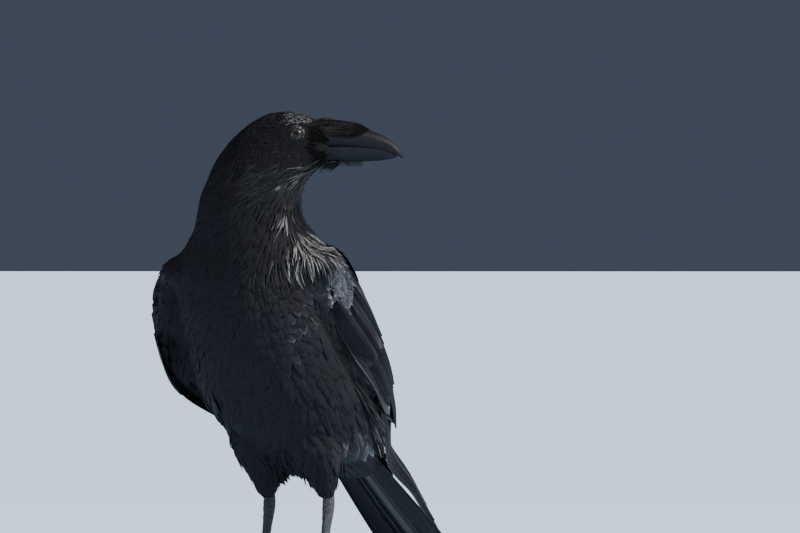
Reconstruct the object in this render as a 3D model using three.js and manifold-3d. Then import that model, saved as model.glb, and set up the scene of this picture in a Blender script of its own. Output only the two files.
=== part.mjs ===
// A common raven, Corvus corax, standing upright and still with its head turned over its left shoulder.
// Millimetres, +Z up. The breast faces -Y, the bird's left is +X, and the tail runs back along +Y.
// The origin is on the floor, under the middle of the bird.
import * as THREE from "three";
import { mergeVertices } from "three/addons/utils/BufferGeometryUtils.js";
import Module from "manifold-3d";

const wasm = await Module();
wasm.setup();
const { Manifold, Mesh: SolidMesh } = wasm;

// ---------- driving sizes ----------
const GAP = 0.3; // clear space between neighbouring pieces
const EDGE_GROW = 3; // a plate's edges keep this many gaps clear, since its outline can run at a slant
const HEAD_TURN = 117; // degrees from straight ahead, towards the bird's left
const EYE_RADIUS = 8.2;
const EYE_OUT = 17.4; // from the head's middle plane to the eye's centre
const TAIL_LENGTH = 236;
const TAIL_HALF = 39; // half the width of the folded tail near its end
const TAIL_ROOT_HALF = 12;
const TAIL_PITCH = 31.5; // degrees below level
const FOOT_APART = 28; // from the middle plane to each foot
const RIGHT_WING_SPREAD = 18; // the right wing is held this far out at its lower edge
const RIGHT_WING_DROOP = 20; // and hangs this much lower
const PRIMARY_TUCK = 7; // how deep the primaries lie under the secondaries
const HALF_SPACE = 900; // side of the block that stands for one side of a cut

const V = (x, y, z) => new THREE.Vector3(x, y, z);
const rad = THREE.MathUtils.degToRad;
const { lerp, clamp } = THREE.MathUtils;

// ---------- solids ----------
/** The closed solid of a geometry, with its faces turned out. */
function solid(geometry) {
  geometry.deleteAttribute("normal");
  geometry.deleteAttribute("uv");
  const merged = mergeVertices(geometry, 1e-4);
  const vertProperties = merged.attributes.position.array;
  const triVerts = new Uint32Array(merged.index.array);
  const made = new Manifold(new SolidMesh({ numProp: 3, vertProperties, triVerts }));
  if (made.volume() >= 0) return made;
  return new Manifold(new SolidMesh({ numProp: 3, vertProperties, triVerts: triVerts.reverse() }));
}

/** The largest connected body of a solid, without the crumbs that a cut can leave. */
const largest = (s) => s.decompose().reduce((a, b) => (a.volume() > b.volume() ? a : b));

/** The part of a solid on the side of a plane that its normal points to, half a gap clear of the plane. */
function beyond(s, point, normal) {
  const block = new THREE.BoxGeometry(HALF_SPACE, HALF_SPACE, HALF_SPACE);
  block.translate(0, 0, HALF_SPACE / 2 + GAP / 2);
  block.applyQuaternion(new THREE.Quaternion().setFromUnitVectors(V(0, 0, 1), normal.clone().normalize()));
  block.translate(point.x, point.y, point.z);
  return s.intersect(solid(block));
}

/** A named mesh of a solid in one material. */
function piece(name, s, material) {
  const { numProp, numVert, vertProperties, triVerts } = largest(s).getMesh();
  const position = new Float32Array(numVert * 3);
  for (let i = 0; i < numVert; i++) position.set(vertProperties.subarray(i * numProp, i * numProp + 3), i * 3);
  const geometry = new THREE.BufferGeometry();
  geometry.setAttribute("position", new THREE.BufferAttribute(position, 3));
  geometry.setIndex(new THREE.BufferAttribute(triVerts, 1));
  geometry.computeVertexNormals();
  const mesh = new THREE.Mesh(geometry, material);
  mesh.name = name;
  return mesh;
}

/**
 * A rounded body between two outlines. Each ring runs through a point of the back outline and a point of the
 * belly outline and is `wide` to each side. The ends close over the shares `ends` of the length.
 */
function body({ rings, side, around = 26, along = 26, ends = [0.06, 0.06], power = 2, grow = 0 }) {
  const back = new THREE.CatmullRomCurve3(rings.map((r) => r.back));
  const belly = new THREE.CatmullRomCurve3(rings.map((r) => r.belly));
  const wide = new THREE.CatmullRomCurve3(rings.map((r, i) => V(r.wide, i, 0)));
  const geometry = new THREE.SphereGeometry(1, around, along);
  const { position, uv } = geometry.attributes;
  const step = (x) => Math.sign(x) * Math.abs(x) ** (2 / power);
  const endRound = (share) => Math.sqrt(1 - (1 - clamp(share, 0, 1)) ** 2);
  for (let i = 0; i < position.count; i++) {
    const t = (1 - Math.cos(Math.PI * (1 - uv.getY(i)))) / 2;
    const angle = uv.getX(i) * 2 * Math.PI;
    const top = back.getPoint(t);
    const low = belly.getPoint(t);
    const size = endRound(t / ends[0]) * endRound((1 - t) / ends[1]);
    const half = top.clone().sub(low).multiplyScalar(0.5);
    half.setLength(half.length() + grow);
    const point = top.add(low).multiplyScalar(0.5);
    point.addScaledVector(side, (wide.getPoint(t).x + grow) * size * step(Math.cos(angle)));
    point.addScaledVector(half, size * step(Math.sin(angle)));
    position.setXYZ(i, point.x, point.y, point.z);
  }
  return solid(geometry);
}

/** A tube along points, `wide` to the side and `deep` across it, with the sizes given at each point. */
function limb({ points, sizes, side, around = 12, along = 14, ends = [0.08, 0.08], power = 2, grow = 0 }) {
  const spine = new THREE.CatmullRomCurve3(points);
  const last = points.length - 1;
  const rings = points.map((point, i) => {
    const across = spine.getTangent(i / last).cross(side).setLength(sizes[i][1]);
    return { back: point.clone().sub(across), belly: point.clone().add(across), wide: sizes[i][0] };
  });
  return body({ rings, side, around, along, ends, power, grow });
}

/** A plate that follows a surface: at(t, s) is its outer face and thick(t, s) its depth, for t and s from 0 to 1. */
function plate({ at, thick, long = 16, across = 10, grow = 0 }) {
  const geometry = new THREE.BoxGeometry(1, 1, 1, long, across, 1);
  const { position } = geometry.attributes;
  const small = 1e-3;
  for (let i = 0; i < position.count; i++) {
    const t = position.getX(i) + 0.5;
    const s = position.getY(i) + 0.5;
    const outer = at(t, s);
    const alongway = at(Math.min(t + small, 1), s).sub(at(Math.max(t - small, 0), s)).normalize();
    const sideways = at(t, Math.min(s + small, 1)).sub(at(t, Math.max(s - small, 0))).normalize();
    const normal = alongway.clone().cross(sideways).normalize();
    outer.addScaledVector(normal, position.getZ(i) > 0 ? grow : -thick(t, s) - grow);
    outer.addScaledVector(alongway, EDGE_GROW * grow * (Number(t === 1) - Number(t === 0)));
    outer.addScaledVector(sideways, EDGE_GROW * grow * (Number(s === 1) - Number(s === 0)));
    position.setXYZ(i, outer.x, outer.y, outer.z);
  }
  return solid(geometry);
}

// ---------- trunk, neck and head ----------
const LEFT = V(1, 0, 0);
const UP = V(0, 0, 1);
const FORWARD = V(Math.sin(rad(HEAD_TURN)), -Math.cos(rad(HEAD_TURN)), 0); // where the bill points
const HEAD_RIGHT = FORWARD.clone().cross(UP);

/** A place in the turned head's own plane, `out` towards its right side. */
const headPoint = (forward, up, out = 0) =>
  V(0, 0, up).addScaledVector(FORWARD, forward).addScaledVector(HEAD_RIGHT, out);

/** The trunk, from inside the neck to the root of the tail. */
function trunkShape(grow = 0) {
  const ring = (backY, backZ, bellyY, bellyZ, wide) => ({
    back: V(0, backY, backZ),
    belly: V(0, bellyY, bellyZ),
    wide,
  });
  return body({
    side: LEFT,
    around: 20,
    along: 18,
    ends: [0.05, 0.06],
    grow,
    rings: [
      ring(38, 314, -38, 305, 43),
      ring(50, 299, -44, 286, 58.5),
      ring(66, 275, -47, 258, 69.5),
      ring(84, 248, -46, 226, 72),
      ring(108, 216, -30, 185, 72),
      ring(131, 184, 0, 144, 69),
      ring(150, 161, 42, 112, 60),
      ring(169, 143, 90, 98, 46),
      ring(192, 124, 140, 99, 31),
      ring(222, 101, 198, 82, 17),
    ],
  });
}

/** The neck and head together, bent over from the upright neck to the level bill. */
function neckAndHeadShape() {
  const ring = (napeOut, napeUp, throatOut, throatUp, wide) => ({
    back: headPoint(napeOut, napeUp),
    belly: headPoint(throatOut, throatUp),
    wide,
  });
  return body({
    side: HEAD_RIGHT,
    around: 18,
    along: 18,
    ends: [0.04, 0.1],
    rings: [
      ring(-50, 276, 50, 280, 45),
      ring(-47.5, 300, 48, 302, 44),
      ring(-44.5, 322, 44, 318, 43),
      ring(-38, 342, 45.5, 331, 39),
      ring(-26, 364, 50, 339, 34),
      ring(-8, 384, 56, 346, 29.5),
      ring(14, 397.5, 62, 350.5, 26),
      ring(36, 398, 67, 353.5, 22),
      ring(54, 392, 73, 356, 16),
      ring(66, 385, 80, 359, 10),
    ],
  });
}

// ---------- bill and eyes ----------
/** The upper bill: a ridge that curves down to a hooked tip, over a nearly straight cutting edge. */
function upperBillShape(grow = 0) {
  const ring = (forward, ridge, edge, wide) => ({
    back: headPoint(forward, ridge),
    belly: headPoint(forward - (ridge - edge) * 0.12, edge),
    wide,
  });
  return body({
    side: HEAD_RIGHT,
    around: 12,
    along: 10,
    ends: [0.06, 0.04],
    power: 2.2,
    grow,
    rings: [
      ring(56, 386, 366.5, 11),
      ring(66, 387, 367.3, 11),
      ring(84, 385.5, 367.2, 9.6),
      ring(99, 381.8, 366, 7.8),
      ring(112, 376.4, 363.8, 5.6),
      ring(121, 369.6, 361.2, 3.6),
      ring(127.6, 359.6, 357.6, 1.3),
    ],
  });
}

/** The lower bill, a little shorter than the upper one and closed against it. */
function lowerBillShape(grow = 0) {
  const ring = (forward, edge, keel, wide) => ({
    back: headPoint(forward, edge),
    belly: headPoint(forward - 2, keel),
    wide,
  });
  return body({
    side: HEAD_RIGHT,
    around: 12,
    along: 9,
    ends: [0.06, 0.05],
    power: 2.2,
    grow,
    rings: [
      ring(56, 368, 355.5, 10),
      ring(66, 368.4, 354.6, 9.8),
      ring(84, 368.2, 354.4, 8.4),
      ring(102, 367, 355.2, 6.4),
      ring(115, 364.6, 356.6, 4.2),
      ring(123.6, 361.2, 358.6, 1.6),
    ],
  });
}

/** The bristly feathers that lie forward over the nostrils and the root of the bill. */
function nasalTuftShape(grow = 0) {
  const ring = (forward, top, low, wide) => ({
    back: headPoint(forward, top),
    belly: headPoint(forward + 2, low),
    wide,
  });
  return body({
    side: HEAD_RIGHT,
    around: 10,
    along: 7,
    ends: [0.12, 0.3],
    grow,
    rings: [
      ring(50, 391.5, 371, 14.6),
      ring(62, 390.6, 371.5, 14),
      ring(78, 389, 372.5, 12.4),
      ring(91, 386.8, 374.5, 10),
      ring(100, 384, 377, 7),
    ],
  });
}

const eyePlace = (turned) => headPoint(38, 377.6, turned * EYE_OUT);

function eyeShape(turned, grow = 0) {
  const ball = new THREE.SphereGeometry(EYE_RADIUS + grow, 14, 9);
  const place = eyePlace(turned);
  return solid(ball.translate(place.x, place.y, place.z));
}

// ---------- wings ----------
// Seven stations from the wrist to the tip of a folded left wing: its lower edge along the flank, the
// middle of its outer face and its upper edge over the back.
const WING_STATIONS = [
  { low: V(70, 4, 236), mid: V(80, 6, 268), top: V(66, 18, 294) },
  { low: V(72, 38, 200), mid: V(83, 48, 248), top: V(42, 64, 288) },
  { low: V(68, 84, 166), mid: V(74.5, 98, 204), top: V(14, 110, 244) },
  { low: V(54, 142, 132), mid: V(57, 149, 163), top: V(6, 160, 194) },
  { low: V(33, 202, 95), mid: V(31, 206, 119), top: V(4, 218, 140) },
  { low: V(20, 270, 63), mid: V(18, 274, 78), top: V(3, 280, 92) },
  { low: V(15, 334, 23), mid: V(12, 338, 33), top: V(3, 342, 44) },
];
const HANG = [0.95, 1, 0.8, 0.2, 0, 0, 0]; // how much of the spread and droop each station has

/** The outer face of a wing, at t from the wrist to the tip and s from the lower to the upper edge. */
function wingFace(sign) {
  const spread = sign < 0 ? RIGHT_WING_SPREAD : 0;
  const droop = sign < 0 ? RIGHT_WING_DROOP : 0;
  const row = (edge, out, down) =>
    new THREE.CatmullRomCurve3(
      WING_STATIONS.map((station, i) => {
        const { x, y, z } = station[edge];
        return V(sign * (x + spread * out * HANG[i]), y - droop * 0.5 * down * HANG[i], z - droop * down * HANG[i]);
      }),
    );
  const rows = { low: row("low", 1, 1.2), mid: row("mid", 0.7, 0.6), top: row("top", 0.45, 0.5) };
  return (t, s) => {
    const low = rows.low.getPoint(t);
    const top = rows.top.getPoint(t);
    const bend = rows.mid.getPoint(t).multiplyScalar(2).addScaledVector(low, -0.5).addScaledVector(top, -0.5);
    return low
      .multiplyScalar((1 - s) ** 2)
      .addScaledVector(bend, 2 * s * (1 - s))
      .addScaledVector(top, s * s);
  };
}

/** The same face seen with s reversed on the right, so that a plate's depth always points inwards. */
function facing(sign, at) {
  return sign > 0 ? at : (t, s) => at(t, 1 - s);
}

/** How far back a row of overlapping feather tips reaches at s, with the tips at `tips` and notches between. */
function scallops(tips, depth) {
  const notch = (i) => Math.min(tips[clamp(i, 0, tips.length - 1)], tips[clamp(i + 1, 0, tips.length - 1)]) - depth;
  return (s) => {
    const i = Math.min(Math.floor(s * tips.length), tips.length - 1);
    const fromMiddle = 2 * (s * tips.length - i) - 1;
    return lerp(tips[i], notch(fromMiddle < 0 ? i - 1 : i), fromMiddle ** 2);
  };
}

/** The thick front of the wing: arm, shoulder and covert feathers, with scalloped ends at the back. */
function covertsShape(sign, grow = 0) {
  const face = wingFace(sign);
  const rear = scallops([0.385, 0.41, 0.43, 0.45, 0.465, 0.475], 0.012);
  const at = (t, s) => {
    const back = t ** 1.3;
    const pinch = 0.52 + (s - 0.52) * (0.42 + 0.58 * Math.sqrt(clamp(back / 0.3, 0, 1)));
    return face(back * rear(s), pinch);
  };
  const thick = (t, s) => 2.2 + 9 * Math.sqrt(1 - (2 * s - 1) ** 4) * Math.sin(Math.PI * clamp(t, 0.14, 0.93));
  return plate({ at: facing(sign, at), thick, long: 9, across: 12, grow });
}

/** Secondaries and tertials: the broad feathers that lie over the back behind the coverts. */
function secondariesShape(sign, grow = 0) {
  const face = wingFace(sign);
  const rear = scallops([0.57, 0.595, 0.62, 0.645, 0.66], 0.012);
  const at = (t, s) => face(lerp(0.36, rear(s), t), lerp(0.17, 1, s));
  const thick = (t, s) => 1.6 + 3.2 * Math.sqrt(1 - (2 * s - 1) ** 4) * (1 - t * 0.5);
  return plate({ at: facing(sign, at), thick, long: 5, across: 10, grow });
}

/** Primaries: the stepped blades of the wing tip, the longest lowest. They lie under the secondaries. */
function primariesShape(sign, grow = 0) {
  const face = wingFace(sign);
  const rear = scallops([1, 0.965, 0.915, 0.855, 0.78], 0.012);
  const at = (t, s) => {
    const back = lerp(lerp(0.37, 0.455, s), rear(s), t);
    const tuck = PRIMARY_TUCK * clamp((0.79 - back) / 0.13, 0, 1);
    return face(back, s).add(V(-sign * tuck * (1 - s), 0, -tuck * lerp(0.4, 1, s)));
  };
  const thick = (t) => lerp(2.6, 1.8, t);
  return plate({ at: facing(sign, at), thick, long: 5, across: 10, grow });
}

// ---------- tail ----------
const TAIL_ROOT = V(0, 146, 136);
const TAIL_BACK = V(0, Math.cos(rad(TAIL_PITCH)), -Math.sin(rad(TAIL_PITCH)));
const TAIL_UP = V(0, Math.sin(rad(TAIL_PITCH)), Math.cos(rad(TAIL_PITCH)));

/** The folded tail: a narrow fan of twelve feathers, the middle pair longest and on top. */
function tailShape(grow = 0) {
  const steps = [0.87, 0.925, 0.96, 0.985, 1, 1];
  const rear = scallops([...steps, ...steps.toReversed()], 0.02);
  const at = (t, s) => {
    const back = t * rear(s);
    const across = (2 * s - 1) * lerp(TAIL_ROOT_HALF, TAIL_HALF, Math.sqrt(back));
    return TAIL_ROOT.clone()
      .addScaledVector(TAIL_BACK, back * TAIL_LENGTH)
      .addScaledVector(TAIL_UP, -0.0042 * across * across)
      .addScaledVector(LEFT, -across);
  };
  const thick = (t, s) => lerp(5, 3, t) - Math.abs(2 * s - 1);
  return plate({ at, thick, long: 4, across: 24, grow });
}

// ---------- legs ----------
const kneeToHeel = (sign, grow = 0) =>
  limb({
    side: LEFT,
    around: 12,
    along: 9,
    ends: [0.12, 0.1],
    grow,
    points: [V(sign * 25, 56, 142), V(sign * 26, 70, 118), V(sign * 27, 81, 94), V(sign * FOOT_APART, 87, 70)],
    sizes: [
      [25, 34],
      [24, 30],
      [15, 19],
      [6.5, 8],
    ],
  });

const shankShape = (sign, grow = 0) =>
  limb({
    side: LEFT,
    around: 8,
    along: 8,
    ends: [0.08, 0.1],
    grow,
    points: [
      V(sign * FOOT_APART, 88, 79),
      V(sign * FOOT_APART, 87.5, 68),
      V(sign * FOOT_APART, 83, 48),
      V(sign * FOOT_APART, 76, 24),
      V(sign * FOOT_APART, FOOT_Y, 4.5),
    ],
    sizes: [
      [4.4, 5.2],
      [4.9, 5.8],
      [3.5, 4.5],
      [3.6, 4.6],
      [5.6, 6.2],
    ],
  });

// Toes fan out from the foot, from `start` to `length` from its middle. An angle of 0 points straight ahead,
// and a positive one away from the middle plane.
const TOES = [
  { name: "middle", angle: 3, start: 3, length: 46, thick: 4.6 },
  { name: "inner", angle: -24, start: 8, length: 35, thick: 4.2 },
  { name: "outer", angle: 27, start: 8, length: 37, thick: 4.2 },
  { name: "hind", angle: 180, start: 3, length: 27, thick: 4.6 },
];
const CLAW_LENGTH = 15;
const FOOT_Y = 72;

/** A place on a toe's line, `reach` from the foot's middle and `up` from the floor. */
function toePoint(sign, toe, reach, up) {
  const turn = rad(toe.angle) * sign;
  return V(sign * FOOT_APART + Math.sin(turn) * reach, FOOT_Y - Math.cos(turn) * reach, up);
}

/** A toe: bone and pads, flat where it rests on the floor. */
function toeShape(sign, toe, grow = 0) {
  const t = toe.thick;
  const reaches = [toe.start, toe.length * 0.4, toe.length * 0.7, toe.length];
  const along = toePoint(sign, toe, 1, 0).sub(toePoint(sign, toe, 0, 0));
  return limb({
    side: V(along.y, -along.x, 0),
    around: 8,
    along: 7,
    ends: [0.1, 0.14],
    grow,
    points: reaches.map((reach, i) => toePoint(sign, toe, reach, t * [1.2, 0.92, 0.86, 0.86][i])),
    sizes: [
      [t * 0.95, t * 1.15],
      [t * 0.92, t * 1.02],
      [t * 0.86, t * 0.98],
      [t * 0.72, t * 0.8],
    ],
  });
}

/** A claw: a tapered hook from the end of a toe down to just above the floor. */
function clawShape(sign, toe, grow = 0) {
  const size = CLAW_LENGTH * (toe.name === "hind" ? 1.25 : 1);
  const along = toePoint(sign, toe, 1, 0).sub(toePoint(sign, toe, 0, 0));
  const start = toe.length - 2.5;
  return limb({
    side: V(along.y, -along.x, 0),
    around: 6,
    along: 6,
    ends: [0.1, 0.05],
    grow,
    points: [
      toePoint(sign, toe, start, 5.4),
      toePoint(sign, toe, start + size * 0.38, 6.4),
      toePoint(sign, toe, start + size * 0.74, 4.6),
      toePoint(sign, toe, start + size * 0.98, 1.1),
    ],
    sizes: [
      [2.4, 3],
      [2.1, 2.6],
      [1.4, 1.7],
      [0.45, 0.5],
    ],
  });
}

// ---------- finishes ----------
const finish = (name, color, roughness) =>
  new THREE.MeshStandardMaterial({ name, color, roughness, metalness: 0 });
const plumage = finish("plumage", 0x0b0b0e, 0.5);
const flight = finish("flight_feathers", 0x0d0d12, 0.4);
const horn = finish("horn", 0x111216, 0.3);
const legSkin = finish("leg_skin", 0x0f0f11, 0.5);
const eyeGloss = finish("eye", 0x140c07, 0.05);

// ---------- assembly ----------
const raven = new THREE.Group();
const add = (name, s, material) => raven.add(piece(name, s, material));

const sides = [
  { name: "left", sign: 1 },
  { name: "right", sign: -1 },
];

// Wings: each layer is cut clear of the one that lies over it.
const overTail = tailShape(GAP);
const wingBlocks = [];
for (const { name, sign } of sides) {
  const coverts = covertsShape(sign);
  const overCoverts = covertsShape(sign, GAP);
  const secondaries = secondariesShape(sign).subtract(overCoverts);
  const overSecondaries = secondariesShape(sign, GAP);
  const primaries = primariesShape(sign).subtract(overCoverts).subtract(overSecondaries).subtract(overTail);
  add(`wing_${name}_coverts`, coverts, plumage);
  add(`wing_${name}_secondaries`, secondaries, flight);
  add(`wing_${name}_primaries`, primaries, flight);
  wingBlocks.push(overCoverts, overSecondaries, primariesShape(sign, GAP));
}

// The trunk has a bed for each wing, for the tail and for the bones of the legs.
const whole = trunkShape().add(neckAndHeadShape());
const neckCut = { point: V(0, 2, 291), normal: V(0, -0.12, 1) };
const headCut = { point: headPoint(4, 336), normal: V(0, 0, 1).addScaledVector(FORWARD, 0.12) };
let trunk = beyond(whole, neckCut.point, neckCut.normal.clone().negate());
let neck = beyond(beyond(whole, neckCut.point, neckCut.normal), headCut.point, headCut.normal.clone().negate());
let head = beyond(whole, headCut.point, headCut.normal);
for (const block of wingBlocks) {
  trunk = trunk.subtract(block);
  neck = neck.subtract(block);
}
trunk = trunk.subtract(overTail);

const upperBill = upperBillShape();
const lowerBill = lowerBillShape().subtract(upperBillShape(GAP));
head = head.subtract(upperBillShape(GAP)).subtract(lowerBillShape(GAP));
for (const turned of [-1, 1]) head = head.subtract(eyeShape(turned, GAP));
head = head.subtract(nasalTuftShape(GAP));
const tuft = nasalTuftShape().subtract(upperBillShape(GAP)).subtract(lowerBillShape(GAP));
add("trunk", trunk, plumage);
add("neck", neck, plumage);
add("head", head, plumage);
add("nasal_tuft", tuft, plumage);
add("bill_upper", upperBill, horn);
add("bill_lower", lowerBill, horn);
add("eye_right", eyeShape(1), eyeGloss);
add("eye_left", eyeShape(-1), eyeGloss);
add("tail", tailShape(), flight);

// Legs
const floorBlock = new THREE.BoxGeometry(HALF_SPACE, HALF_SPACE, HALF_SPACE).translate(0, 0, -HALF_SPACE / 2);
const underFloor = solid(floorBlock);
const underTrunk = trunkShape(GAP);
for (const { name, sign } of sides) {
  const shank = shankShape(sign).subtract(underFloor);
  const overShank = shankShape(sign, GAP);
  add(`thigh_${name}`, kneeToHeel(sign).subtract(underTrunk).subtract(overShank), plumage);
  add(`shank_${name}`, shank, legSkin);
  let taken = overShank;
  for (const toe of TOES) {
    const toeSolid = toeShape(sign, toe).subtract(taken).subtract(underFloor);
    add(`toe_${name}_${toe.name}`, toeSolid.subtract(clawShape(sign, toe, GAP)), legSkin);
    add(`claw_${name}_${toe.name}`, clawShape(sign, toe).subtract(underFloor), horn);
    taken = taken.add(toeShape(sign, toe, GAP));
  }
}

// The origin goes to the floor under the middle of the bird.
const box = new THREE.Box3().setFromObject(raven);
for (const mesh of raven.children) {
  mesh.geometry.translate(-(box.min.x + box.max.x) / 2, -(box.min.y + box.max.y) / 2, -box.min.z);
}

export default raven;
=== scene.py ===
"""A common raven, standing with its head turned over its left shoulder: skin, coat, wings, bill, eyes and legs.

Sizes are in millimetres in the bird's own axes: the breast faces -Y, its left is +X and up is +Z.
`seated` turns them into the frame's metres.
"""

import math
from collections import namedtuple
from functools import cached_property

import bmesh
import bpy
import numpy as np
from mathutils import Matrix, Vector
from mathutils.bvhtree import BVHTree
from mathutils.kdtree import KDTree


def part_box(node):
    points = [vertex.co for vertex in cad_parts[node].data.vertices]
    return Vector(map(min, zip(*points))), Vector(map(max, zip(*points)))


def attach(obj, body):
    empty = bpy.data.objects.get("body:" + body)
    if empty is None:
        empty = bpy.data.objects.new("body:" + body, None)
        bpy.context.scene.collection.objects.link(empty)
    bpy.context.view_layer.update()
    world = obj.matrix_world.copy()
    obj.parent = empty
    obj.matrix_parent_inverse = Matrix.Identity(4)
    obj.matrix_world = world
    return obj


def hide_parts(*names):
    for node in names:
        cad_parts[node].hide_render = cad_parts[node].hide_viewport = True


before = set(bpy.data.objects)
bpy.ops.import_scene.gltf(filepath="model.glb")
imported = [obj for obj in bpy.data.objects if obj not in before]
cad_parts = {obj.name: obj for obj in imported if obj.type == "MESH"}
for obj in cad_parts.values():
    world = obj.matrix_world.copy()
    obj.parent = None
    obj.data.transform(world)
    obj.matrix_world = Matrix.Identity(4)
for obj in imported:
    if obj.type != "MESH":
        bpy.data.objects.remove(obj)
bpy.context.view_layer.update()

rng = np.random.default_rng(11)

# ---------- the bird's axes and its place in the frame ----------
MM = 0.001
TURN = 2 * math.pi
UP = np.array([0.0, 0.0, 1.0])
LEFT = np.array([1.0, 0.0, 0.0])
HEAD_TURN = math.radians(117)  # from straight ahead, towards the bird's left
FORWARD = np.array([math.sin(HEAD_TURN), -math.cos(HEAD_TURN), 0.0])  # where the bill points
HEAD_RIGHT = np.cross(FORWARD, UP)
EYE_FORWARD, EYE_UP, EYE_OUT, EYE_RADIUS = 38, 377.6, 17.4, 8.2
SIDES = {"left": 1, "right": -1}


def in_head(forward, up, out=0.0):
    """Places by their distance forward, up and to the right in the turned head."""
    forward, up, out = (np.asarray(x, float)[..., None] for x in (forward, up, out))
    return FORWARD * forward + UP * up + HEAD_RIGHT * out


eyes_middle = np.mean([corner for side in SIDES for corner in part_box(f"eye_{side}")], axis=0)
ORIGIN = in_head(EYE_FORWARD, EYE_UP) - eyes_middle / MM


def seated(points):
    """The bird's millimetres as the frame's metres."""
    return (np.asarray(points, float) - ORIGIN) * MM


def in_bird(points):
    """The frame's metres as the bird's millimetres."""
    return np.asarray(points, float) / MM + ORIGIN


def unit(vectors):
    return vectors / np.maximum(np.linalg.norm(vectors, axis=-1, keepdims=True), 1e-12)


def dot(a, b):
    return np.sum(a * b, axis=-1, keepdims=True)


def rows(*columns):
    return np.stack(columns, -1)


def smooth_step(low, high, x):
    """0 at `low`, 1 at `high` and a soft step between, whichever of the two is larger."""
    t = np.clip((x - low) / (high - low), 0, 1)
    return t * t * (3 - 2 * t)


def mix(a, b, t):
    return a + (b - a) * t


class Curve:
    """A smooth curve through points, which bends less where they lie far apart."""

    def __init__(self, points):
        self.points = np.array(points, float)

    def __call__(self, t):
        points = self.points
        last = len(points) - 1
        x = np.clip(np.asarray(t, float), 0, 1) * last
        i = np.minimum(x.astype(int), last - 1)
        w = (x - i)[..., None]
        padded = np.vstack([2 * points[0] - points[1], points, 2 * points[-1] - points[-2]])
        p0, p1, p2, p3 = (padded[i + k] for k in range(4))
        pairs = ((p0, p1), (p1, p2), (p2, p3))
        d0, d1, d2 = (np.sqrt(np.linalg.norm(b - a, axis=-1, keepdims=True)) for a, b in pairs)
        v1 = ((p1 - p0) / d0 - (p2 - p0) / (d0 + d1) + (p2 - p1) / d1) * d1
        v2 = ((p2 - p1) / d1 - (p3 - p1) / (d1 + d2) + (p3 - p2) / d2) * d1
        return p1 + v1 * w + (3 * (p2 - p1) - 2 * v1 - v2) * w**2 + (2 * (p1 - p2) + v1 + v2) * w**3

    def tangent(self, t):
        t = np.asarray(t, float)
        return unit(self(np.minimum(t + 1e-3, 1)) - self(np.maximum(t - 1e-3, 0)))


def widths_along(values):
    """A curve whose first coordinate runs smoothly through the values."""
    return Curve([(value, 10.0 * i, 0) for i, value in enumerate(values)])


# ---------- objects and meshes ----------
def placed(name, data, finish=None):
    """A new object at the origin."""
    if finish:
        data.materials.append(finish.material)
    obj = bpy.data.objects.new(name, data)
    bpy.context.collection.objects.link(obj)
    return obj


def linked(name, bm, finish=None, sharp_over=None):
    """A new object of a bmesh, shaded smooth."""
    mesh = bpy.data.meshes.new(name)
    bm.to_mesh(mesh)
    bm.free()
    mesh.polygons.foreach_set("use_smooth", [True] * len(mesh.polygons))
    if sharp_over:
        mesh.set_sharp_from_angle(angle=math.radians(sharp_over))
    return placed(name, mesh, finish)


def worn_by_bird(piece, slot, *nodes):
    """The piece rides on the bird and stands for the solids named, which are hidden; `slot` is not used."""
    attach(piece, "root")
    if nodes:
        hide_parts(*nodes)


def place_vertices(bm, where):
    """Moves each vertex of a bmesh to where(x, y, z), worked out for all of them at once."""
    old = np.array([v.co for v in bm.verts])
    for vertex, new in zip(bm.verts, where(*old.T)):
        vertex.co = new


def smoothed(bm, times, verts=None, factor=0.5):
    for _ in range(times):
        bmesh.ops.smooth_vert(
            bm, verts=verts or bm.verts, factor=factor, use_axis_x=True, use_axis_y=True, use_axis_z=True
        )


def read(items, key, width, kind=float):
    """One property of all of a mesh's items, with a row for each."""
    values = np.empty(len(items) * width, kind)
    items.foreach_get(key, values)
    return values.reshape(-1, width)


def everything(bm):
    return [*bm.verts, *bm.edges, *bm.faces]


def tree_of(points):
    """The points, ready to be asked which of them is nearest."""
    tree = KDTree(len(points))
    for i, point in enumerate(points):
        tree.insert(point, i)
    tree.balance()
    return tree


def surface_of(node):
    """A CAD node's own faces, ready to be asked what is near."""
    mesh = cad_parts[node].data
    return BVHTree.FromPolygons([v.co for v in mesh.vertices], [p.vertices for p in mesh.polygons])


# ---------- finishes ----------
def math_node(operation, turned=False):
    """A method of Wire that adds a Math node, with its values swapped where `turned`."""

    def method(self, *others):
        values = (*others, self) if turned else (self, *others)
        return self.finish.node("ShaderNodeMath", {"operation": operation}, *values)["Value"]

    return method


class Wire:
    """A socket that numbers and other sockets can be worked into with +, - and *."""

    def __init__(self, finish, socket):
        self.finish, self.socket = finish, socket

    __add__ = __radd__ = math_node("ADD")
    __mul__ = __rmul__ = math_node("MULTIPLY")
    __sub__, __rsub__ = math_node("SUBTRACT"), math_node("SUBTRACT", turned=True)
    __abs__, sine, larger = math_node("ABSOLUTE"), math_node("SINE"), math_node("MAXIMUM")

    def between(self, low, high):
        """0 below `low`, 1 above `high`, and a soft step from one to the other."""
        settings = {"interpolation_type": "SMOOTHSTEP"}
        return self.finish.node("ShaderNodeMapRange", settings, self, low, high)["Result"]


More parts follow.
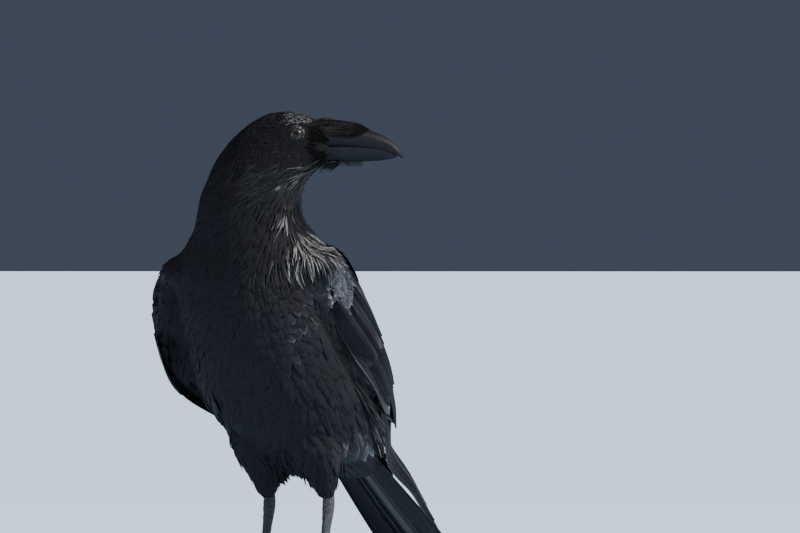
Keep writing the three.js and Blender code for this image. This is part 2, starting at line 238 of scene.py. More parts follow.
class Finish:
    """A material and the nodes that vary it over a surface."""

    def __init__(self, name, constants):
        self.material = bpy.data.materials.new(name)
        self.material.use_nodes = True
        self.tree = self.material.node_tree
        self.shader = self.tree.nodes["Principled BSDF"]
        for socket, value in constants.items():
            self.shader.inputs[socket].default_value = value

    def node(self, kind, settings=None, *values, **named):
        """A node with its settings made first and its sockets filled; gives its outputs by name."""
        node = self.tree.nodes.new(kind)
        for key, value in (settings or {}).items():
            setattr(node, key, value)
        for socket, value in [*enumerate(values), *named.items()]:
            if isinstance(value, Wire):
                self.tree.links.new(value.socket, node.inputs[socket])
            elif value is not None:
                node.inputs[socket].default_value = value
        return {out.name: Wire(self, out) for out in node.outputs if out.enabled}

    def set(self, **wires):
        """Feeds the shader's sockets, with _ for the space in their names."""
        for socket, wire in wires.items():
            self.tree.links.new(wire.socket, self.shader.inputs[socket.replace("_", " ")])

    @cached_property
    def place(self):
        return self.node("ShaderNodeTexCoord")["Object"]

    def noise(self, scale, detail=3, roughness=0.5, place=None):
        sockets = {"Vector": place or self.place, "Scale": scale, "Detail": detail, "Roughness": roughness}
        return self.node("ShaderNodeTexNoise", None, **sockets)["Fac"]

    def uv(self, name):
        """The two coordinates of one of the piece's own maps."""
        apart = self.node("ShaderNodeSeparateXYZ", None, self.node("ShaderNodeUVMap", {"uv_map": name})["UV"])
        return apart["X"], apart["Y"]

    def blend(self, first, second, share):
        """A colour between two, by a share from 0 to 1."""
        first, second = (value if isinstance(value, Wire) else (*value, 1) for value in (first, second))
        unused = [None] * 5  # the sockets for numbers and vectors
        return self.node("ShaderNodeMix", {"data_type": "RGBA"}, share, *unused, first, second)["Result"]

    def relief(self, height, distance):
        """A bump of `height`, `distance` metres deep."""
        bump = self.node("ShaderNodeBump", None, Strength=1.0, Distance=distance, Height=height)
        self.set(Normal=bump["Normal"])


# Each feather finish: its name, its black, painted sheen and worn colours, then in this order its roughness,
# the gap between barbs, gloss coat, shine, depth of relief, painted highlight along the edges and how much of
# the worn colour lies all over it. The worn colour is real wear, and a painted highlight where painted_gleam
# raises `tone`.
GREY = (0.24, 0.24, 0.26)
FEATHER_FINISHES = {
    "bristle": (
        "bristles", (0.009, 0.0083, 0.0088), (0.011, 0.0105, 0.0115), (0.08, 0.065, 0.056),
        0.62, 0.8, 0, 0.12,
    ),
    "velvet": (
        "velvet_black_bristles", (0.0046, 0.0045, 0.005), (0.006, 0.006, 0.007), (0.02, 0.019, 0.019),
        0.85, 0.8, 0, 0.03,
    ),
    "coat": ("black_plumage", (0.0066, 0.006, 0.0076), (0.0068, 0.0074, 0.0105), GREY, 0.65, 1.0, 0, 0.06, 0.5),
    # Painted shade: the face's colours are the coat's darkened to about three quarters, for a face that lies in
    # shade.
    "face": ("face_plumage", (0.005, 0.0046, 0.0058), (0.0052, 0.0056, 0.008), GREY, 0.65, 1.0, 0, 0.06, 0.5),
    # Painted light: the linings' colours are about twice the coat's, to lighten feathers that lie in shade.
    "lining": ("wing_linings", (0.013, 0.012, 0.0145), (0.0135, 0.014, 0.018), GREY, 0.65, 1.0, 0, 0.06, 0.5),
    "hackle": (
        "throat_hackles", (0.0055, 0.0055, 0.007), (0.007, 0.0078, 0.011), (0.7, 0.68, 0.68),
        0.45, 0.8, 0.05, 0.2, 1.0, 0.0, 0.006,
    ),
    "lesser": (
        "lesser_coverts", (0.004, 0.0043, 0.0065), (0.008, 0.0088, 0.014), (0.14, 0.142, 0.165),
        0.36, 1.0, 0.25, 0.3,
    ),
    "shoulder": (
        "shoulder_plumage", (0.003, 0.0031, 0.0043), (0.0048, 0.006, 0.011), (0.09, 0.088, 0.095),
        0.5, 1.1, 0, 0.08, 0.8, 0.3, 0.01,
    ),
    "wing": (
        "wing_plumage", (0.0029, 0.003, 0.004), (0.0038, 0.005, 0.01), (0.085, 0.08, 0.08),
        0.5, 1.3, 0, 0.07, 1.0, 0.5, 0.006,
    ),
}


def feather_finish(name, black, sheen, worn_and_highlight, rough, barb_gap, coat, shine, depth=1.0, rim=0.0, dull=0.015):
    """Black feather: barbs off a shaft, painted cold sheen, and pale wear and painted highlight where `tone` is
    high.
    """
    gloss = {"Specular IOR Level": shine, "Coat Roughness": 0.25, "Coat Tint": (0.72, 0.8, 1.0, 1)}
    finish = Finish(name, gloss)
    along, across = finish.uv("vane")
    reach, aside = finish.uv("barb")
    tone = finish.node("ShaderNodeAttribute", {"attribute_name": "tone"})["Fac"]
    edge = abs(across * 2 - 1)
    slant = reach - abs(aside) * 1.15
    ripple = (slant * (TURN / barb_gap) + finish.noise(240, 2) * 5).sine()
    shaft = 1 - edge.between(0.02, 0.16)
    fine = finish.noise(420, 2)
    blue = finish.noise(38).between(0.42, 0.66) * (0.35 + tone * 0.65)
    fringe = edge.between(0.62, 1.0).larger(along.between(0.7, 1.0))
    wear_and_highlight_share = tone.between(0.6, 1.0)
    # Painted sheen: a bluish colour in patches from noise, more of it where `tone` is high.
    colour = finish.blend(black, sheen, blue)
    # Pale worn fringes and wear at random, and a painted highlight where painted_gleam gives a high `tone`.
    colour = finish.blend(colour, worn_and_highlight, (dull + wear_and_highlight_share * (0.25 + fringe * 0.75)) * (0.4 + fine * 1.2))
    # Painted highlight: a thin pale line along the vane's edges stands for the light they reflect.
    if rim:
        colour = finish.blend(colour, worn_and_highlight, edge.between(0.9, 0.97) * (0.3 + tone) * rim)
    finish.set(Base_Color=colour, Roughness=rough + ripple * 0.04 + (fine - 0.5) * 0.16 + wear_and_highlight_share * 0.06)
    if coat:
        finish.set(Coat_Weight=blue * coat)
    finish.relief(ripple * 0.35 + shaft * 1.4 + fine * 0.5, 0.00035 * depth)
    return finish


def make_finishes():
    made = {key: feather_finish(*row) for key, row in FEATHER_FINISHES.items()}

    skin = made["skin"] = Finish("dark_skin", {"Roughness": 0.8, "Specular IOR Level": 0.04})
    skin.set(Base_Color=skin.blend((0.0042, 0.0042, 0.0048), (0.0062, 0.0062, 0.0068), skin.noise(60, 2)))
    skin.relief(skin.noise(600), 0.0004)

    horn = made["horn"] = Finish("bill_horn", {"Specular IOR Level": 0.13, "Coat Roughness": 0.3})
    with_the_bill = {"Rotation": (0, 0, -HEAD_TURN + math.pi / 2), "Scale": (60, 420, 420)}
    along = horn.node("ShaderNodeMapping", None, Vector=horn.place, **with_the_bill)["Vector"]
    streak, cloud, scratch = horn.noise(1.0, 4, 0.6, along), horn.noise(90), horn.noise(3.1, 2, 0.5, along)
    shade = streak.between(0.35, 0.75) * 0.7 + cloud * 0.3
    horn.set(
        Base_Color=horn.blend((0.0026, 0.003, 0.0046), (0.0066, 0.0076, 0.0115), shade),
        Roughness=0.5 + streak * 0.14 + scratch.between(0.6, 0.8) * 0.12,
        Coat_Weight=cloud.between(0.45, 0.75) * 0.06,
    )
    horn.relief(streak * 0.7 + cloud * 0.5, 0.0003)

    claw = made["claw"] = Finish("claw_horn", {"Coat Roughness": 0.15})
    streak = claw.noise(380)
    colour = claw.blend((0.008, 0.008, 0.009), (0.03, 0.028, 0.027), streak.between(0.4, 0.8))
    claw.set(Base_Color=colour, Roughness=0.24 + streak * 0.2)
    claw.relief(streak, 0.0002)

    scales = made["scales"] = Finish("leg_scales", {"Specular IOR Level": 0.5})
    edges = {"feature": "DISTANCE_TO_EDGE"}
    cells = scales.node("ShaderNodeTexVoronoi", edges, Vector=scales.place, Scale=520)["Distance"]
    groove = 1 - cells.between(0.0, 0.12)
    dust = scales.noise(210)
    colour = scales.blend((0.014, 0.014, 0.016), (0.036, 0.034, 0.034), dust.between(0.35, 0.75))
    colour = scales.blend(colour, (0.006, 0.006, 0.007), groove * 0.8)
    scales.set(Base_Color=colour, Roughness=0.38 + dust * 0.2 + groove * 0.15)
    scales.relief(cells.between(0.0, 0.25) + dust * 0.3, 0.0005)

    lid = made["lid"] = Finish("lid_skin", {"Specular IOR Level": 0.25})
    wrinkle = lid.noise(760, 2)
    colour = lid.blend((0.003, 0.003, 0.0034), (0.08, 0.079, 0.083), wrinkle.between(0.5, 0.6))
    lid.set(Base_Color=colour, Roughness=0.34 + wrinkle * 0.2)
    lid.relief(wrinkle, 0.0003)

    gloss = {"Roughness": 0.4, "Specular IOR Level": 0.05, "Coat Weight": 0.3, "Coat Roughness": 0.07}
    eye = made["eye"] = Finish("brown_eye", gloss)
    turn, out = eye.uv("gaze")
    spokes = [(turn * TURN + start).sine() * 9 for start in (0, math.pi / 2)]
    ray = eye.node("ShaderNodeCombineXYZ", None, *spokes, out * 2)["Vector"]
    fibre = eye.noise(1.6, 3, 0.6, ray)
    iris = eye.blend((0.011, 0.009, 0.0085), (0.028, 0.023, 0.021), fibre.between(0.35, 0.7))
    iris = eye.blend(iris, (0.004, 0.0035, 0.0035), 1 - out.between(2.55, 2.8))  # the pupil
    eye.set(Base_Color=eye.blend(iris, (0.006, 0.005, 0.005), out.between(5.0, 5.6)))  # the dark rim
    return made


# ---------- camera, floor and light ----------
VIEW_TURN = math.radians(27)  # the camera stands this far towards the bird's left of straight ahead
VIEW_RIGHT = np.array([math.cos(VIEW_TURN), math.sin(VIEW_TURN), 0.0])
TO_CAMERA = np.array([math.sin(VIEW_TURN), -math.cos(VIEW_TURN), 0.0])
CAMERA_HEIGHT = 268.5
CAMERA_ASIDE = 124.5  # the bird stands left of the picture's middle
CAMERA_DISTANCE = 7000
VIEW_WIDTH = 664  # seen at the bird's distance
SENSOR = 36
LAMP_HEIGHT, LAMP_DISTANCE = 220, 2.4  # millimetres and metres
# Each lamp: its name and kind, the way it shines from as right, up and near, its energy, colour and size.
LAMPS = [
    ("key", "SUN", (0.88, 0.62, 0.35), 9.0, (1.0, 0.975, 0.94), {"angle": math.radians(7)}),
    ("sky", "AREA", (-0.2, 1.0, 0.5), 8, (0.8, 0.88, 1.0), {"size": 2.2}),
    ("rim", "AREA", (0.8, 0.9, -0.9), 3, (0.9, 0.95, 1.0), {"size": 1.0}),
    ("front", "AREA", (-0.25, 0.1, 1.0), 9, (1.0, 0.9, 0.97), {"size": 3.0}),
    ("side", "AREA", (-0.65, 0.08, 0.75), 32, (0.95, 0.95, 1.0), {"size": 1.6}),
]


def make_camera():
    data = bpy.data.cameras.new("camera")
    data.sensor_width = SENSOR
    data.lens = SENSOR * CAMERA_DISTANCE / VIEW_WIDTH
    data.clip_end = 2000
    camera = placed("camera", data)
    camera.location = seated(VIEW_RIGHT * CAMERA_ASIDE + TO_CAMERA * CAMERA_DISTANCE + UP * CAMERA_HEIGHT)
    camera.rotation_euler = (math.pi / 2, 0, VIEW_TURN)
    bpy.context.scene.camera = camera


def make_studio():
    world = bpy.data.worlds.new("studio")
    world.use_nodes = True
    background = world.node_tree.nodes["Background"].inputs
    background["Color"].default_value = (0.10, 0.125, 0.185, 1)
    background["Strength"].default_value = 0.55
    bpy.context.scene.world = world
    for name, kind, (right, up, near), energy, colour, size in LAMPS:
        data = bpy.data.lights.new(name, kind)
        for key, value in {"energy": energy, "color": colour, **size}.items():
            setattr(data, key, value)
        lamp = placed(name, data)
        from_there = Vector(unit(VIEW_RIGHT * right + UP * up + TO_CAMERA * near))
        lamp.location = Vector(seated(UP * LAMP_HEIGHT)) + from_there * LAMP_DISTANCE
        lamp.rotation_mode = "QUATERNION"
        lamp.rotation_quaternion = from_there.to_track_quat("Z", "Y")

    pale = Finish("pale_floor", {"Roughness": 0.9})
    pale.set(Base_Color=pale.blend((0.57, 0.77, 1.0), (0.65, 0.83, 1.0), pale.noise(0.6)))
    bm = bmesh.new()
    bmesh.ops.create_grid(bm, x_segments=1, y_segments=1, size=400)
    linked("floor", bm, pale)


# ---------- wings: the surface that the folded feathers lie on ----------
RIGHT_WING_SPREAD, RIGHT_WING_DROOP, LEFT_WING_TUCK = 18, 20, 8
WING_STATIONS = {
    "low": [
        *((70, 4, 236), (72, 38, 200), (68, 84, 166), (54, 142, 132)),
        *((33, 202, 95), (20, 270, 63), (15, 334, 23)),
    ],
    "mid": [
        *((80, 6, 268), (83, 48, 248), (74.5, 98, 204), (57, 149, 163)),
        *((31, 206, 119), (18, 274, 78), (12, 338, 33)),
    ],
    "top": [
        *((66, 18, 287), (42, 64, 280), (14, 110, 244), (6, 160, 194)),
        *((4, 218, 140), (3, 280, 92), (3, 342, 44)),
    ],
}
WING_HOLD = {"low": (1, 1.2), "mid": (0.7, 0.6), "top": (0.45, 0.5)}  # shares of the spread and of the droop
HANG = np.array([0.95, 1, 0.7, 0.2, 0, 0, 0])
TUCK = np.array([0.6, 1, 0.1, 0, 0, 0, 0])
PRIMARY_TUCK = 7


class WingFace:
    """A folded wing's outer face, at t from the wrist to the tip and s from its lower to its upper edge."""

    def __init__(self, sign):
        self.sign = sign
        right, left = (RIGHT_WING_SPREAD, RIGHT_WING_DROOP, HANG), (-LEFT_WING_TUCK, 0, TUCK)
        spread, droop, held = right if sign < 0 else left
        self.rows = []
        for edge, (out, down) in WING_HOLD.items():
            x, y, z = np.array(WING_STATIONS[edge], float).T
            drop = droop * down * HANG
            self.rows.append(Curve(rows(sign * (x + spread * out * held), y - 0.5 * drop, z - drop)))

    def __call__(self, t, s):
        s = np.asarray(s, float)[..., None]
        low, mid, top = (row(t) for row in self.rows)
        bend = 2 * mid - 0.5 * low - 0.5 * top
        return low * (1 - s) ** 2 + bend * 2 * s * (1 - s) + top * s**2

    def along(self, t, s):
        h = 1e-3
        return unit(self(np.clip(t + h, 0, 1), s) - self(np.clip(t - h, 0, 1), s))

    def normal(self, t, s):
        """Out of the wing, away from the body."""
        h = 1e-3
        return unit(np.cross(self.along(t, s), self(t, s + h) - self(t, s - h))) * self.sign


WINGS = {side: WingFace(sign) for side, sign in SIDES.items()}
GRID = np.meshgrid(np.linspace(0, 0.6, 60), np.linspace(0, 1, 24), indexing="ij")
GRID_T, GRID_S = (shares.ravel() for shares in GRID)
WING_TREES = {side: tree_of(face(GRID_T, GRID_S)) for side, face in WINGS.items()}


def near_wing(side, points):
    """The t and s of the place on the wing's face nearest to each point, and how far off it is."""
    near, far = np.array([WING_TREES[side].find(point)[1:] for point in points]).reshape(-1, 2).T
    near = near.astype(int)
    return GRID_T[near], GRID_S[near], far


# ---------- skin ----------
VOXEL = 2.6 * MM
BILL_ROOT = 61  # how far forward the flesh reaches into the bill
SWELL = 0.5 * MM  # closes the thin cuts between the solids
SMOOTHING, SHOULDER_SMOOTHING = 10, 26  # rounds
MOUTH_DEPTH, EDGE_LIFT = 5, 4
WING_COAT = 1.0  # the most that the skin lies in where small coverts cover it
FLESH = ["trunk", "neck", "head", "thigh_left", "thigh_right", "wing_left_coverts", "wing_right_coverts"]

# Soft filling under the skin: its middle, and half its size sideways, lengthways and upwards in the bird's axes
# or, at the chin, in the head's.
PADS = [
    ((62, 8, 268), (20, 34, 17)),
    ((-64, 6, 264), (22, 34, 17)),
    ((-73, 24, 232), (15, 34, 34)),
    ((-72, 48, 200), (15, 34, 34)),
    ((-70, 78, 168), (13, 34, 30)),
    ((-58, 110, 144), (11, 30, 22)),
    ((-78, 5, 246), (12, 11, 22)),
    ((-76, 36, 184), (12, 18, 19)),
    ((-74, 62, 168), (12, 16, 17)),
]
CHIN = (in_head(60, 354), (8, 15, 6.5))


def flesh_copy(node):
    """A CAD node's solid with its loose triangles merged, swollen enough to close the cuts round it."""
    bm = bmesh.new()
    bm.from_mesh(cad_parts[node].data)
    bmesh.ops.remove_doubles(bm, verts=bm.verts, dist=1e-6)
    if node.startswith("bill"):
        cut = bmesh.ops.bisect_plane(
            bm, geom=everything(bm), plane_co=seated(FORWARD * BILL_ROOT), plane_no=FORWARD, clear_outer=True
        )
        bmesh.ops.holes_fill(bm, edges=[e for e in cut["geom_cut"] if isinstance(e, bmesh.types.BMEdge)])
    bm.normal_update()
    for vertex in bm.verts:
        vertex.co += vertex.normal * SWELL
    return bm


def padding():
    """Egg-shaped fillings that lead the shoulders into the wings and the chin into the bill."""
    bm = bmesh.new()
    for middle, half in [*PADS, CHIN]:
        axes = (HEAD_RIGHT, FORWARD, UP) if middle is CHIN[0] else (LEFT, np.cross(UP, LEFT), UP)
        made = bmesh.ops.create_uvsphere(bm, u_segments=24, v_segments=14, radius=1)
        for vertex in made["verts"]:
            spread = sum(axis * far * share for axis, far, share in zip(axes, half, vertex.co))
            vertex.co = seated(np.array(middle) + spread)
    return bm


def coat_depth(points):
    """How thick the feathers lie over the skin, in millimetres: thin on the face, thick on the body."""
    return mix(3.4, mix(2.6, 1.1, smooth_step(5, 42, points @ FORWARD)), smooth_step(335, 352, points[:, 2]))


def mouth_edge(points):
    """How much each point lies where the bill's edge comes out of the face, and which way is in from there."""
    forward, z = points @ FORWARD, points[:, 2]
    share = smooth_step(54, 60, forward) * smooth_step(364, 366.5, z) * smooth_step(374, 371, z)
    return -HEAD_RIGHT * (np.sign(points @ HEAD_RIGHT) * share)[:, None]


def wing_edge_lift(points):
    """How many millimetres up each point of the right wing's lower edge goes, where the wing is held closer."""
    x, y, z = points.T
    under = z - np.interp(y, [26, 74, 140], [176, 147, 127])
    lengthways = smooth_step(24, 52, y) * smooth_step(106, 64, y)
    return EDGE_LIFT * lengthways * smooth_step(-52, -64, x) * smooth_step(30, 8, under)


def tuck_under_wing(*place):
    """Where the skin goes so that it lies just under the folded left wing's outer face."""
    places = in_bird(rows(*place))
    t, s, far = near_wing("left", places)
    out = WINGS["left"].normal(t, s)
    over = np.sum((places - WINGS["left"](t, s)) * out, axis=1) + mix(0.6, 2.0, smooth_step(0.08, 0.2, t))
    return seated(places - out * (np.maximum(over, 0) * smooth_step(14, 9, far))[:, None])


def closed_flesh():
    """One closed surface round the flesh, its soft filling and the roots of the bill."""
    whole = bmesh.new()
    bodies = [flesh_copy(node) for node in [*FLESH, "bill_upper", "bill_lower", "eye_left", "eye_right"]]
    for part in [*bodies, padding()]:
        scrap = bpy.data.meshes.new("scrap")
        part.to_mesh(scrap)
        part.free()
        whole.from_mesh(scrap)
        bpy.data.meshes.remove(scrap)
    rough = linked("rough_skin", whole)
    remesh = rough.modifiers.new("close", "REMESH")
    remesh.mode, remesh.voxel_size = "VOXEL", VOXEL
    bpy.context.view_layer.update()
    closed = bpy.data.meshes.new_from_object(rough.evaluated_get(bpy.context.evaluated_depsgraph_get()))
    bpy.data.objects.remove(rough)
    bm = bmesh.new()
    bm.from_mesh(closed)
    return bm


def make_skin():
    """One smooth skin round the flesh of the trunk, neck, head, thighs and the front of the wings."""
    bm = closed_flesh()
    smoothed(bm, SMOOTHING)
    x, y, z = in_bird([v.co for v in bm.verts]).T
    at_shoulder = (np.abs(x) > 36) & (y < 76) & (z > 254) & (z < 306)
    smoothed(bm, SHOULDER_SMOOTHING, [v for v, near in zip(bm.verts, at_shoulder) if near])
    bm.normal_update()
    wings = [surface_of(f"wing_{side}_coverts") for side in SIDES]
    places = in_bird([v.co for v in bm.verts])
    moves = coat_depth(places), mouth_edge(places), wing_edge_lift(places)
    for vertex, deep, inwards, lift in zip(bm.verts, *moves):
        on_wing = any(tree.find_nearest(vertex.co, 2 * MM)[0] is not None for tree in wings)
        vertex.co -= vertex.normal * (min(deep, WING_COAT) if on_wing else deep) * MM
        vertex.co += Vector((inwards * MOUTH_DEPTH + UP * lift) * MM)
    place_vertices(bm, tuck_under_wing)
    smoothed(bm, 1)
    skin = linked("skin", bm, FINISHES["skin"])
    unwrap(skin)
    worn_by_bird(skin, "plumage", *FLESH)
    return skin


def unwrap(obj):
    """Lays the skin out flat on a map that the coat's patches share."""
    obj.data.uv_layers.new(name="OFBake")
    bpy.context.view_layer.objects.active = obj
    obj.select_set(True)
    bpy.ops.object.mode_set(mode="EDIT")
    bpy.ops.mesh.select_all(action="SELECT")
    bpy.ops.uv.smart_project(angle_limit=math.radians(66), island_margin=0.002)
    bpy.ops.object.mode_set(mode="OBJECT")
    obj.select_set(False)


# ---------- the lie of the coat ----------
SPINE = Curve(
    [
        *(in_head(72, 374), in_head(46, 376), in_head(20, 371), in_head(4, 350)),
        *((0, 0, 322), (0, 12, 293), (0, 36, 262), (0, 66, 220)),
        *((0, 96, 176), (0, 126, 142), (0, 164, 116), (0, 216, 88)),
    ]
)
SPINE_AT = np.linspace(0, 1, 90)
SPINE_POINTS, SPINE_ALONG = SPINE(SPINE_AT), SPINE.tangent(SPINE_AT)
FAN, WIDE_FAN, BEARD = 0.7, 0.95, 0.8  # how strongly the hackles spread sideways
THIGH_ALONG = unit(np.array([0.0, 31, -78]))


def round_the_neck(points):
    """How far round the neck from the middle of the throat each point is, and which way is further round."""
    turn = np.arctan2(points[:, 0], -(points[:, 1] - 5))
    throat = HEAD_TURN * smooth_step(205, 322, points[:, 2])  # the throat turns with the head
    return (turn - throat + np.pi) % TURN - np.pi, rows(np.cos(turn), np.sin(turn), 0 * turn)


def body_flow(points):
    """Which way the body feathers point: back along the spine, and fanning out below the throat."""
    apart = points[:, None, :] - SPINE_POINTS[None]
    ways = unit(1 / (np.sum(apart**2, axis=-1) + 60) ** 3 @ SPINE_ALONG)
    z = points[:, 2]
    off, further = round_the_neck(points)
    spread = mix(FAN, WIDE_FAN, smooth_step(0, 0.9, off)) * smooth_step(235, 265, z) * smooth_step(352, 335, z)
    beard = smooth_step(314, 328, z) * smooth_step(356, 347, z) * smooth_step(2.2, 1.3, np.abs(off))
    ways = ways + further * (np.sin(off) * (spread + BEARD * beard))[:, None]
    on_back = smooth_step(30, 60, points[:, 1]) * smooth_step(180, 230, z)
    return unit(ways + LEFT * (0.02 * points[:, 0] * on_back)[:, None])


def flow(points, kind):
    """The direction of the feathers at each point, by the kind of ground they grow on."""
    ways = body_flow(points)
    ways[kind == "thigh"] = THIGH_ALONG
    ways[kind == "lore"] = FORWARD
    for side in SIDES:
        mine = kind == f"wing_{side}"
        t, s, _ = near_wing(side, points[mine])
        ways[mine] = WINGS[side].along(t, s)
    return ways


# ---------- small feathers ----------
class VaneForm:
    """A closed, many times repeated feather: a flat tube with few corners and a few stations along it."""

    def __init__(self, corners, stations):
        bm = bmesh.new()
        bmesh.ops.create_cone(bm, cap_ends=True, segments=corners, radius1=1, radius2=1, depth=1)
        for share in stations[1:-1]:
            bmesh.ops.bisect_plane(bm, geom=everything(bm), plane_co=(0, 0, share - 0.5), plane_no=(0, 0, 1))
        bm.normal_update()
        place = np.array([v.co for v in bm.verts])
        self.stations = np.array(stations)
        self.station = np.argmin(np.abs(place[:, 2:] + 0.5 - self.stations), axis=1)
        self.across = place[:, 0] / np.abs(place[:, 0]).max()
        self.deep = place[:, 1]
        self.loops = np.array([v.index for face in bm.faces for v in face.verts])
        self.sizes = np.array([len(face.verts) for face in bm.faces])
        bm.free()


BROAD = VaneForm(6, [0, 0.3, 0.55, 0.75, 0.9, 1.0])
SLIM = VaneForm(4, [0, 0.3, 0.6, 0.85, 1.0])
SPIKE = VaneForm(4, [0, 0.35, 0.65, 0.88, 1.0])


def vane_width(form, base, blunt):
    """Half widths along feathers whose tips are round where `blunt` is 1 and pointed where it is 0."""
    u = form.stations[None, :]
    blunt = blunt[:, None]
    tip = (1 - u ** mix(1.7, 5.0, blunt)) ** mix(0.9, 0.55, blunt)
    root = np.minimum(1, 0.35 + u * 2.6)
    return base[:, None] * np.maximum(tip * root, 0.05)


def build_vanes(name, form, finish, path, out, half_width, height, thick, crown, roll, bake, tone, soft=None):
    """Lays one feather form along each path. Lengths are metres; the rows of each array are the feathers.

    Where `soft` is near 1 the feathers are shaded almost like the skin under them, as downy ones are.
    """
    along = unit(np.gradient(path, axis=1))
    out = unit(out - along * dot(out, along))
    side = np.cross(out, along)
    cosine, sine = np.cos(roll)[:, None, None], np.sin(roll)[:, None, None]
    turned, out = side * cosine + out * sine, out * cosine - side * sine
    j, across, deep = form.station, form.across, form.deep
    taper = np.linspace(1, 0.4, len(form.stations))[j]
    lift = height[:, j] + deep * thick[:, None] * taper - (crown[:, None] * across**2)
    points = path[:, j] + turned[:, j] * (half_width[:, j] * across)[..., None] + out[:, j] * lift[..., None]

    many, each = len(path), len(j)
    mesh = bpy.data.meshes.new(name)
    mesh.vertices.add(many * each)
    mesh.vertices.foreach_set("co", points.ravel())
    loops = (form.loops[None] + each * np.arange(many)[:, None]).ravel()
    mesh.loops.add(len(loops))
    mesh.loops.foreach_set("vertex_index", loops)
    sizes = np.tile(form.sizes, many)
    mesh.polygons.add(len(sizes))
    mesh.polygons.foreach_set("loop_start", np.concatenate([[0], np.cumsum(sizes)[:-1]]))
    mesh.polygons.foreach_set("use_smooth", np.ones(len(sizes), bool))
    mesh.update(calc_edges=True)

    length = np.linalg.norm(np.diff(path, axis=1), axis=-1).sum(1)
    u, v = form.stations[j][form.loops], across[form.loops]
    maps = {
        "OFBake": bake[:, None, :] + 0.0015 * rows(2 * u - 1, v)[None],
        "vane": np.broadcast_to(rows(u, 0.5 + 0.5 * v), (many, len(u), 2)),
        "barb": rows(u * length[:, None], v * half_width.max(1)[:, None]) / MM,
    }
    for key, values in maps.items():
        mesh.uv_layers.new(name=key).data.foreach_set("uv", np.ascontiguousarray(values, np.float32).ravel())
    tones = mesh.attributes.new("tone", "FLOAT", "POINT").data
    tones.foreach_set("value", np.repeat(tone, each).astype(np.float32))
    if soft is None:
        mesh.set_sharp_from_angle(angle=math.radians(50))
    else:
        own = read(mesh.vertices, "normal", 3).reshape(many, each, 3)
        share = soft[:, None, None] * (deep > -0.1)[None, :, None]
        mesh.normals_split_custom_set_from_vertices(unit(mix(own, out[:, j], share)).reshape(-1, 3))
    return placed(name, mesh, FINISHES[finish])


# Coat: length, width, spacing, bluntness, lift, unruliness in degrees and softness of each kind of feather, and
# the piece that it is part of.
COAT = {
    "none": (1, 1, 1e6, 0, 0, 0, 0, ""),
    "lore": (9.0, 1.3, 1.35, 0.1, 1.5, 9, 0.3, "lore_bristles"),
    "face": (5.0, 1.9, 1.45, 0.4, 0.6, 8, 0.75, "face_feathers"),
    "cheek": (9.5, 2.4, 2.0, 0.2, 0.9, 5, 0.9, "face_feathers"),
    "crown": (11.5, 3.6, 2.5, 0.5, 0.9, 3, 0.9, "crown_feathers"),
    "nape": (22.0, 4.6, 3.4, 0.3, 1.6, 4, 0.9, "nape_feathers"),
    "throat": (24.0, 1.6, 1.95, 0.05, 2.6, 7, 0.35, "throat_hackles"),
    "breast": (18.0, 8.0, 4.3, 0.8, 2.0, 6, 0.75, "breast_feathers"),
    "belly": (25.0, 9.0, 5.1, 0.6, 2.4, 7, 0.85, "belly_feathers"),
    "flank": (34.0, 8.5, 5.4, 0.3, 3.4, 9, 0.7, "belly_feathers"),
    "mantle": (30.0, 14.0, 6.5, 0.85, 4.0, 6, 0.4, "back_feathers"),
    "scapular": (36.0, 16.0, 7.5, 0.85, 5.0, 7, 0.4, "back_feathers"),
    "vent": (40.0, 10.0, 6.4, 0.3, 3.4, 9, 0.6, "vent_feathers"),
    "thigh": (20.0, 5.6, 4.0, 0.3, 2.2, 9, 0.75, "thigh_feathers"),
    "lesser": (10.5, 6.2, 3.4, 0.9, 1.0, 6, 0.8, "lesser_coverts"),
    "lining": (18.0, 7.5, 5.0, 0.6, 1.3, 6, 0.8, "wing_linings"),
}
COAT_FINISHES = {
    "throat_hackles": "hackle",
    "lesser_coverts": "lesser",
    "lore_bristles": "velvet",
    "wing_linings": "lining",
    "face_feathers": "face",
}
ROOT_DEPTH = 1.0 * MM  # how deep a feather's root lies in the skin


def eye_distance(points):
    """How far each point is from the nearer eye's middle."""
    eyes = [in_head(EYE_FORWARD, EYE_UP, EYE_OUT * turned) for turned in (-1, 1)]
    return np.min([np.linalg.norm(points - eye, axis=1) for eye in eyes], axis=0)


